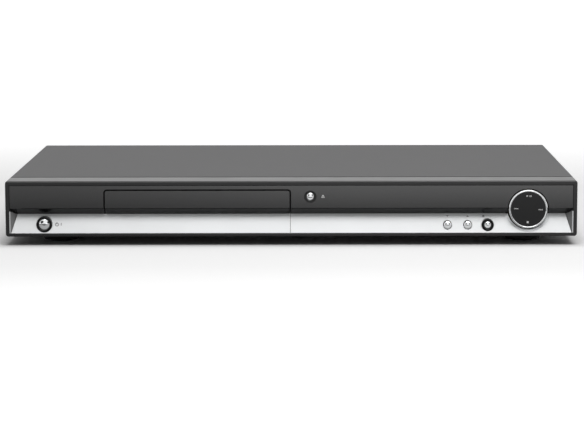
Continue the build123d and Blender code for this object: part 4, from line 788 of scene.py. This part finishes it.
@dataclass
class Front(Assembly):
    """Moulded front with its smoked panel, silver slope and printed marks."""

    nodes: dict[str, Finish] = field(default_factory=lambda: {
        "front_bezel": FINISHES.bezel_black, "front_lens": FINISHES.panel_smoke,
        "lower_trim_left": FINISHES.silver_paint, "lower_trim_right": FINISHES.silver_paint,
        "tray_door": FINISHES.panel_smoke})
    face: Flat = Flat((0.0, -134.0, 0.0))
    edge_height: float = 28.3
    edge_shade_width: float = 0.6
    opening: tuple[float, float, float] = (-140.8, -0.5, 42.4)
    opening_bend: float = 2.3
    gap_shade_width: float = 0.4
    slope: Flat = Flat((0.0, -134.0, 9.6), (1.0, 0.0, 0.0), (0.0, 7.0, 13.8))
    edges: tuple[tuple[str, str, Point], ...] = (
        ("panel_edge_shade_left", "case", (-203.0, -140.4)), ("door_edge_shade", "tray", (-139.9, -1.4)),
        ("panel_edge_shade_right", "case", (-0.9, 162.0)))
    eject_column: float = 23.8
    slope_row: float = 13.3
    program_marks: tuple[Point, ...] = ((117.6, 180.0), (132.8, 0.0))
    record_column: float = 144.7
    power_mark: Point = (-176.6, 7.0)

    def build(self) -> None:
        """Dress the front and print its marks."""
        self.dress()
        self.print_marks()

    def print_marks(self) -> None:
        """Print the eject mark and the marks on the slope, and lay thin dark plates of painted shade along the
        panel's lower edge.
        """
        maker = Maker("front_marks_upper", "case", FINISHES.print_white, smooth=False)
        maker.mark(self.face, triangle((self.eject_column, 37.9), 2.6, 1.5, 0.0))
        maker.mark(self.face, rectangle((self.eject_column, 36.5), 2.6, 0.5))
        maker.finished()
        # painted shade: thin dark plates stand for the shade where the panel's face meets its overhang
        for name, body, (start, end) in self.edges:
            maker = Maker(name, body, FINISHES.ring_black, smooth=False)
            maker.mark(self.face, rectangle(((start + end) / 2, self.edge_height), end - start, self.edge_shade_width))
            maker.finished()
        self.lay_gap_shade()
        maker = Maker("front_marks_lower", "case", FINISHES.print_grey, smooth=False)
        for column, turn in self.program_marks:
            maker.mark(self.slope, triangle((column, self.slope_row), 2.0, 1.2, turn))
        maker.ring_mark(self.slope, (self.record_column, self.slope_row), 0.9, 0.0)
        maker.ring_mark(self.slope, self.power_mark, 1.45, 0.95)
        column, row = self.power_mark
        maker.mark(self.slope, rectangle((column, row + 1.1), 0.5, 1.8), 0.06)
        maker.mark(self.slope, rectangle((column + 3.2, row + 0.2), 0.5, 2.2))
        maker.finished()

    def lay_gap_shade(self, steps: int = 8) -> None:
        """Lay a thin dark plate of painted shade round the tray door's opening, so the gap reads wider.

        Args:
            steps: Pieces in each rounded corner.
        """
        left, right, top = self.opening
        low, bend, outer = self.edge_height, self.opening_bend, self.opening_bend + self.gap_shade_width
        path = [((left, low), (left - self.gap_shade_width, low))]
        for x, start in ((left + bend, 180.0), (right - bend, 90.0)):
            for step in range(steps + 1):
                angle = math.radians(start - 90.0 * step / steps)
                across, along = math.cos(angle), math.sin(angle)
                path.append(tuple((x + radius * across, top - bend + radius * along) for radius in (bend, outer)))
        path.append(((right, low), (right + self.gap_shade_width, low)))
        # painted shade: the dark plate stands for the shade inside the door's gap
        maker = Maker("door_gap_shade", "case", FINISHES.ring_black, smooth=False)
        for (near, far), (near_next, far_next) in zip(path, path[1:]):
            maker.mark(self.face, (far, near, near_next, far_next))
        maker.finished()


@dataclass
class Controls(Assembly):
    """Push buttons, their collars and the four-way dial."""

    nodes: dict[str, Finish] = field(default_factory=lambda: {
        "power_ring": FINISHES.ring_black, "record_ring": FINISHES.ring_black,
        "power_button": FINISHES.chrome_plate, "eject_button": FINISHES.chrome_plate,
        "program_down_button": FINISHES.chrome_plate, "program_up_button": FINISHES.chrome_plate,
        "record_button": FINISHES.chrome_plate, "dial_ring": FINISHES.chrome_plate,
        "dial_pad": FINISHES.dial_black, "dial_gimbal": FINISHES.gear_white,
        "dial_bracket": FINISHES.loader_black, "tact_switches": FINISHES.switch_dark,
        "front_boards": FINISHES.board_tan, "display_module": FINISHES.display_glass})
    dial: Flat = Flat((178.1, -134.55, 27.5), (0.99905, 0.0, -0.04362), (0.04362, 0.0, 0.99905))
    dial_reach: float = 9.9

    def build(self) -> None:
        """Dress the controls and print the dial."""
        self.dress()
        self.print_dial()

    def print_dial(self) -> None:
        """Print the four transport marks on the dial."""
        maker = Maker("dial_marks", "dial", FINISHES.print_white, smooth=False)
        maker.mark(self.dial, triangle((-1.2, self.dial_reach), 1.3, 1.3, -90.0))
        for x in (0.6, 1.5):
            maker.mark(self.dial, rectangle((x, self.dial_reach), 0.5, 1.3))
        for side, turn in ((-1, 90.0), (1, -90.0)):
            for x in (8.3, 9.6):
                maker.mark(self.dial, triangle((side * x, 0.0), 1.1, 1.2, turn))
            maker.mark(self.dial, rectangle((side * 10.5, 0.0), 0.35, 1.1))
        maker.mark(self.dial, rectangle((0.0, -self.dial_reach), 1.5, 1.5))
        maker.finished()


@dataclass
class Loader(Assembly):
    """Disc tray, its drive, the lifting deck and the clamp."""

    nodes: dict[str, Finish] = field(default_factory=lambda: {
        "drive_frame": FINISHES.loader_black, "clamp_bridge": FINISHES.bridge_steel,
        "loading_motor": FINISHES.motor_can, "drive_belt": FINISHES.belt_rubber,
        "disc_tray": FINISHES.tray_black, "drive_gear": FINISHES.gear_white,
        "pulley_gear": FINISHES.gear_white, "motor_pulley": FINISHES.gear_white,
        "cam_slider": FINISHES.gear_white, "traverse_deck": FINISHES.loader_black,
        "spindle_motor": FINISHES.motor_can, "guide_rods": FINISHES.ground_steel,
        "sled_motor": FINISHES.motor_can, "turntable": FINISHES.tray_black,
        "pickup_sled": FINISHES.loader_black, "pickup_lens": FINISHES.lens_glass,
        "lead_screw": FINISHES.ground_steel, "clamp_puck": FINISHES.gear_white})


@dataclass
class Electronics(Assembly):
    """Boards, their parts, the sockets and the fan."""

    nodes: dict[str, Finish] = field(default_factory=lambda: {
        "main_board": FINISHES.board_green, "power_board": FINISHES.board_tan,
        "inner_screws": FINISHES.screw_zinc, "main_chip": FINISHES.chip_black,
        "heat_sink": FINISHES.sink_black, "transformer": FINISHES.ferrite,
        "capacitors": FINISHES.can_sleeve, "tuner_can": FINISHES.tin_plate,
        "antenna_sockets": FINISHES.tin_plate, "jack_blocks": FINISHES.jack_black,
        "jack_barrels": FINISHES.gold_plate, "svideo_socket": FINISHES.jack_black,
        "optical_socket": FINISHES.jack_black, "mains_inlet": FINISHES.jack_black,
        "inlet_pins": FINISHES.gold_plate, "fan_frame": FINISHES.loader_black,
        "fan_rotor": FINISHES.loader_black})
    inserts: tuple[tuple[Finish, tuple[float, ...]], ...] = (
        (FINISHES.insert_yellow, (68.0,)), (FINISHES.insert_white, (54.0,)), (FINISHES.insert_red, (40.0, 92.0)),
        (FINISHES.insert_green, (120.0,)), (FINISHES.insert_blue, (106.0,)))
    insert_rows: tuple[float, float] = (21.5, 35.5)
    insert_radii: tuple[float, float] = (1.7, 3.0)
    insert_span: tuple[float, float] = (134.0, 134.6)
    insert_steps: int = 32

    def build(self) -> None:
        """Dress the electronics and colour the jacks."""
        self.dress()
        self.fit_inserts()

    def fit_inserts(self) -> None:
        """Set a coloured ring into the mouth of each phono jack."""
        (inner, outer), (back, face) = self.insert_radii, self.insert_span
        for finish, columns in self.inserts:
            maker = Maker(f"jack_{finish.name}", "case", finish)
            for x in columns:
                for z in self.insert_rows:
                    maker.lathe([(inner, back), (inner, face), (outer, face), (outer, back), (inner, back)],
                                (x, 0.0, z), self.insert_steps)
            maker.finished()


# Studio


@dataclass(frozen=True)
class Lamp:
    """One soft rectangular lamp."""

    name: str
    place: tuple[float, float, float]
    target: tuple[float, float, float]
    size: tuple[float, float]
    power: float


@dataclass(frozen=True)
class PaintedFlag:
    """A dark patch painted into the surroundings, which only reflections show: a painted reflection.

    Attributes:
        azimuth: Degrees to the right of straight ahead of the recorder's front.
        elevation: Degrees over the horizon.
        radius: Half its width in degrees.
    """

    azimuth: float
    elevation: float
    radius: float

    def direction(self) -> Vector:
        """Unit vector towards the flag."""
        turn, rise = math.radians(self.azimuth), math.radians(self.elevation)
        return Vector((math.sin(turn) * math.cos(rise), -math.cos(turn) * math.cos(rise), math.sin(rise)))


class FootprintReach(Effect):
    """Distance of a point on the floor from a rectangle under the recorder."""

    title = "footprint_reach"
    takes = (Port("Half Width", Kind.VALUE, 0.2), Port("Front", Kind.VALUE, -0.1), Port("Rear", Kind.VALUE, 0.1))
    gives = (Port("Reach", Kind.VALUE),)

    def wire(self, bench: Bench, enter: bpy.types.NodeOutputs, leave: bpy.types.NodeInputs) -> None:
        """Length of the two overhangs past the rectangle's sides."""
        here = bench.split(bench.places(1.0))
        side = bench.sum("SUBTRACT", bench.sum("ABSOLUTE", here["X"]), enter["Half Width"])
        ahead = bench.sum("SUBTRACT", enter["Front"], here["Y"])
        behind = bench.sum("SUBTRACT", here["Y"], enter["Rear"])
        along = bench.sum("MAXIMUM", bench.sum("MAXIMUM", ahead, behind), 0.0)
        across = bench.sum("MAXIMUM", side, 0.0)
        square = bench.sum("ADD", bench.sum("MULTIPLY", along, along), bench.sum("MULTIPLY", across, across))
        bench.join(bench.sum("SQRT", square), leave["Reach"])


class PaintedFloorReflection(Effect):
    """Share of the floor's light that reflections keep, set by place on the floor: a painted reflection."""

    title = "painted_floor_reflection"
    takes = ()
    gives = (Port("Share", Kind.VALUE),)
    distant: ClassVar[Span] = ((-0.48, -0.3), (1.0, 0.1))
    close: ClassVar[Span] = ((-0.24, -0.2), (0.0, 0.75))
    sideways: ClassVar[Span] = ((-0.22, 0.05), (0.6, 1.0))

    def wire(self, bench: Bench, enter: bpy.types.NodeOutputs, leave: bpy.types.NodeInputs) -> None:
        """Painted reflection: all of it far out in front, most of it close by, a tenth between, and less to the
        left.
        """
        here = bench.split(bench.places(1.0))
        distant = bench.span(here["Y"], *self.distant)
        close = bench.span(here["Y"], *self.close)
        forwards = bench.sum("MAXIMUM", distant, close)
        sideways = bench.span(here["X"], *self.sideways)
        bench.join(bench.sum("MULTIPLY", forwards, sideways), leave["Share"])


@dataclass
class Studio:
    """Pale floor, soft lamps, pale surroundings and the camera.

    Attributes:
        ambient: Strength of the surroundings as a light.
        floor_low: Near left corner of the floor.
        floor_high: Far right corner of the floor.
        floor_tone: Grey of the floor.
        floor_drift: Amount and size of the changes in that grey.
        floor_lift: Light that the floor adds for the eye close by.
        far_lift: Light that it adds on top of that far out.
        far_reach: Distances over which the light far out comes in.
        foot_half: Half the width of the rectangle that both distances start from.
        foot_front: Front of that rectangle.
        foot_rear: Rear of that rectangle.
        foot_fade: Distance over which the light close by comes in.
        flags: Dark patches painted into the surroundings, which only reflections show.
        flag_core: Share of a flag's radius that is darkest.
        flag_tone: Brightness left in that core.
    """

    ambient: float = 0.25
    floor_low: Point = (-8.0, -6.0)
    floor_high: Point = (8.0, 14.0)
    floor_tone: float = 0.86
    floor_drift: Point = (0.01, 0.4)
    floor_lift: float = 0.17
    far_lift: float = 0.75
    far_reach: Point = (0.1, 0.9)
    lamps: tuple[Lamp, ...] = (
        Lamp("overhead", (0.2, -0.1, 1.3), (0.0, 0.0, 0.0), (1.5, 1.0), 3.6),
        Lamp("front_key", (0.25, -0.85, 1.35), (0.02, -0.1, 0.03), (1.4, 0.8), 14.0),
    )
    foot_half: float = 0.215
    foot_front: float = -0.134
    foot_rear: float = 0.128
    foot_fade: float = 0.012
    flags: tuple[PaintedFlag, ...] = (PaintedFlag(-28.0, 16.0, 18.0), PaintedFlag(40.0, 14.0, 17.0))
    flag_core: float = 0.7
    flag_tone: float = 0.04
    lens: float = 142.33
    camera_place: tuple[float, float, float] = (0.0192, -1.854, 0.2536)
    camera_pitch: float = 82.26
    camera_roll: float = -0.081
    camera_shift: float = -0.0426
    sensor: float = 36.0
    view_end: float = 100.0

    def build(self) -> None:
        """Set up everything round the recorder."""
        self.lay_floor()
        self.hang_lamps()
        self.paint_surroundings()
        self.place_camera()
        bpy.context.scene.view_settings.view_transform = "Standard"

    def lay_floor(self) -> None:
        """Lay the pale floor, which keeps the recorder's shadow."""
        mesh = bmesh.new()
        (left, near), (right, far) = self.floor_low, self.floor_high
        corners = ((left, near), (right, near), (right, far), (left, far))
        mesh.faces.new([mesh.verts.new((x, y, 0.0)) for x, y in corners])
        data = bpy.data.meshes.new("floor")
        mesh.to_mesh(data)
        mesh.free()
        floor = bpy.data.objects.new("floor", data)
        bpy.context.scene.collection.objects.link(floor)
        data.materials.append(self.floor_material())
        log.info("laid the floor")

    def floor_material(self) -> bpy.types.Material:
        """Make the floor's material, lifted towards white out from the recorder and clear from below.

        Reflections keep only the share of it that the painted floor reflection gives, which dims the floor by
        place for reflections alone.

        Returns:
            The finished material.
        """
        material = bpy.data.materials.new("pale_floor")
        material.use_nodes = True
        bench = Bench(material.node_tree)
        shader = material.node_tree.nodes["Principled BSDF"]
        shader.inputs["Roughness"].default_value = 0.9
        shader.inputs["Specular IOR Level"].default_value = 0.1
        path = bench.add("ShaderNodeLightPath")
        amount, size = self.floor_drift
        tone = ToneDrift().place(bench, tone=(self.floor_tone,) * 3 + (1.0,), amount=amount, size=size)["Tone"]
        # painted reflection: what reflections see of the floor is dimmed by place
        reflection_share = PaintedFloorReflection().place(bench)["Share"]
        loss = bench.sum("MULTIPLY", path.outputs["Is Glossy Ray"], bench.sum("SUBTRACT", 1.0, reflection_share))
        kept = bench.sum("SUBTRACT", 1.0, loss)
        away = FootprintReach().place(bench, half_width=self.foot_half, front=self.foot_front,
                                      rear=self.foot_rear)["Reach"]
        # painted shade: the lift is held back near a fixed rectangle under the recorder, so the floor darkens
        # towards it on top of its real shadow and stays put when the tray opens
        near = bench.span(away, (0.0, self.foot_fade), (0.0, self.floor_lift))
        far = bench.span(away, self.far_reach, (0.0, self.far_lift))
        seen = bench.sum("MAXIMUM", path.outputs["Is Camera Ray"], path.outputs["Is Glossy Ray"])
        seen = bench.sum("MAXIMUM", seen, path.outputs["Is Transmission Ray"])
        lift = bench.sum("MULTIPLY", bench.sum("ADD", near, far), kept)
        bench.join(bench.scaled(tone, kept), shader.inputs["Base Color"])
        shader.inputs["Emission Color"].default_value = (1.0, 1.0, 1.0, 1.0)
        bench.join(bench.sum("MULTIPLY", seen, lift), shader.inputs["Emission Strength"])
        clear = bench.add("ShaderNodeBsdfTransparent")
        mix = bench.add("ShaderNodeMixShader")
        bench.join(bench.add("ShaderNodeNewGeometry").outputs["Backfacing"], mix.inputs[0])
        bench.join(shader.outputs[0], mix.inputs[1])
        bench.join(clear.outputs[0], mix.inputs[2])
        bench.join(mix.outputs[0], material.node_tree.nodes["Material Output"].inputs["Surface"])
        return material

    def hang_lamps(self) -> None:
        """Hang the soft lamps."""
        for lamp in self.lamps:
            light = bpy.data.lights.new(lamp.name, "AREA")
            light.shape = "RECTANGLE"
            light.size, light.size_y = lamp.size
            light.energy = lamp.power
            holder = bpy.data.objects.new(lamp.name, light)
            bpy.context.scene.collection.objects.link(holder)
            holder.location = lamp.place
            aim = Vector(lamp.target) - Vector(lamp.place)
            holder.rotation_euler = aim.to_track_quat("-Z", "Y").to_euler()
            log.info("hung %s", lamp.name)

    def paint_surroundings(self) -> None:
        """White to look at, white with dark flags painted into reflections, and a softer light."""
        world = bpy.data.worlds.new("surroundings")
        bpy.context.scene.world = world
        world.use_nodes = True
        bench = Bench(world.node_tree)
        shader = world.node_tree.nodes["Background"]
        path = bench.add("ShaderNodeLightPath")
        seen = bench.sum("MAXIMUM", path.outputs["Is Camera Ray"], path.outputs["Is Transmission Ray"])
        way = bench.add("ShaderNodeTexCoord").outputs["Generated"]
        room = 1.0
        # painted reflection: each flag darkens the surroundings for glossy rays alone
        for flag in self.flags:
            match = bench.add("ShaderNodeVectorMath", operation="DOT_PRODUCT")
            bench.join(way, match.inputs[0])
            match.inputs[1].default_value = flag.direction()
            inner, outer = (math.cos(math.radians(flag.radius * share)) for share in (self.flag_core, 1.0))
            shade = bench.span(match.outputs["Value"], (outer, inner), (1.0, self.flag_tone))
            room = bench.sum("MULTIPLY", room, shade)
        glossy = path.outputs["Is Glossy Ray"]
        light = bench.sum("ADD", bench.sum("MULTIPLY", glossy, room),
                          bench.sum("MULTIPLY", bench.sum("SUBTRACT", 1.0, glossy), self.ambient))
        bench.join(bench.sum("MAXIMUM", seen, light), shader.inputs["Strength"])
        shader.inputs["Color"].default_value = (1.0, 1.0, 1.0, 1.0)

    def place_camera(self) -> None:
        """Put the camera where the photograph was taken from."""
        data = bpy.data.cameras.new("camera")
        data.lens = self.lens
        data.sensor_width = self.sensor
        data.shift_x = self.camera_shift
        data.clip_end = self.view_end
        camera = bpy.data.objects.new("camera", data)
        bpy.context.scene.collection.objects.link(camera)
        pitch = Matrix.Rotation(math.radians(self.camera_pitch), 4, "X")
        roll = Matrix.Rotation(math.radians(self.camera_roll), 4, "Z")
        camera.matrix_world = Matrix.Translation(self.camera_place) @ pitch @ roll
        bpy.context.scene.camera = camera


def main() -> None:
    """Build the recorder and its studio."""
    logging.basicConfig(level=logging.INFO, format="%(name)s: %(message)s")
    for assembly in (Case(), Front(), Controls(), Loader(), Electronics()):
        assembly.build()
        log.info("finished %s", type(assembly).__name__.lower())
    Studio().build()


if __name__ == "__main__":
    main()
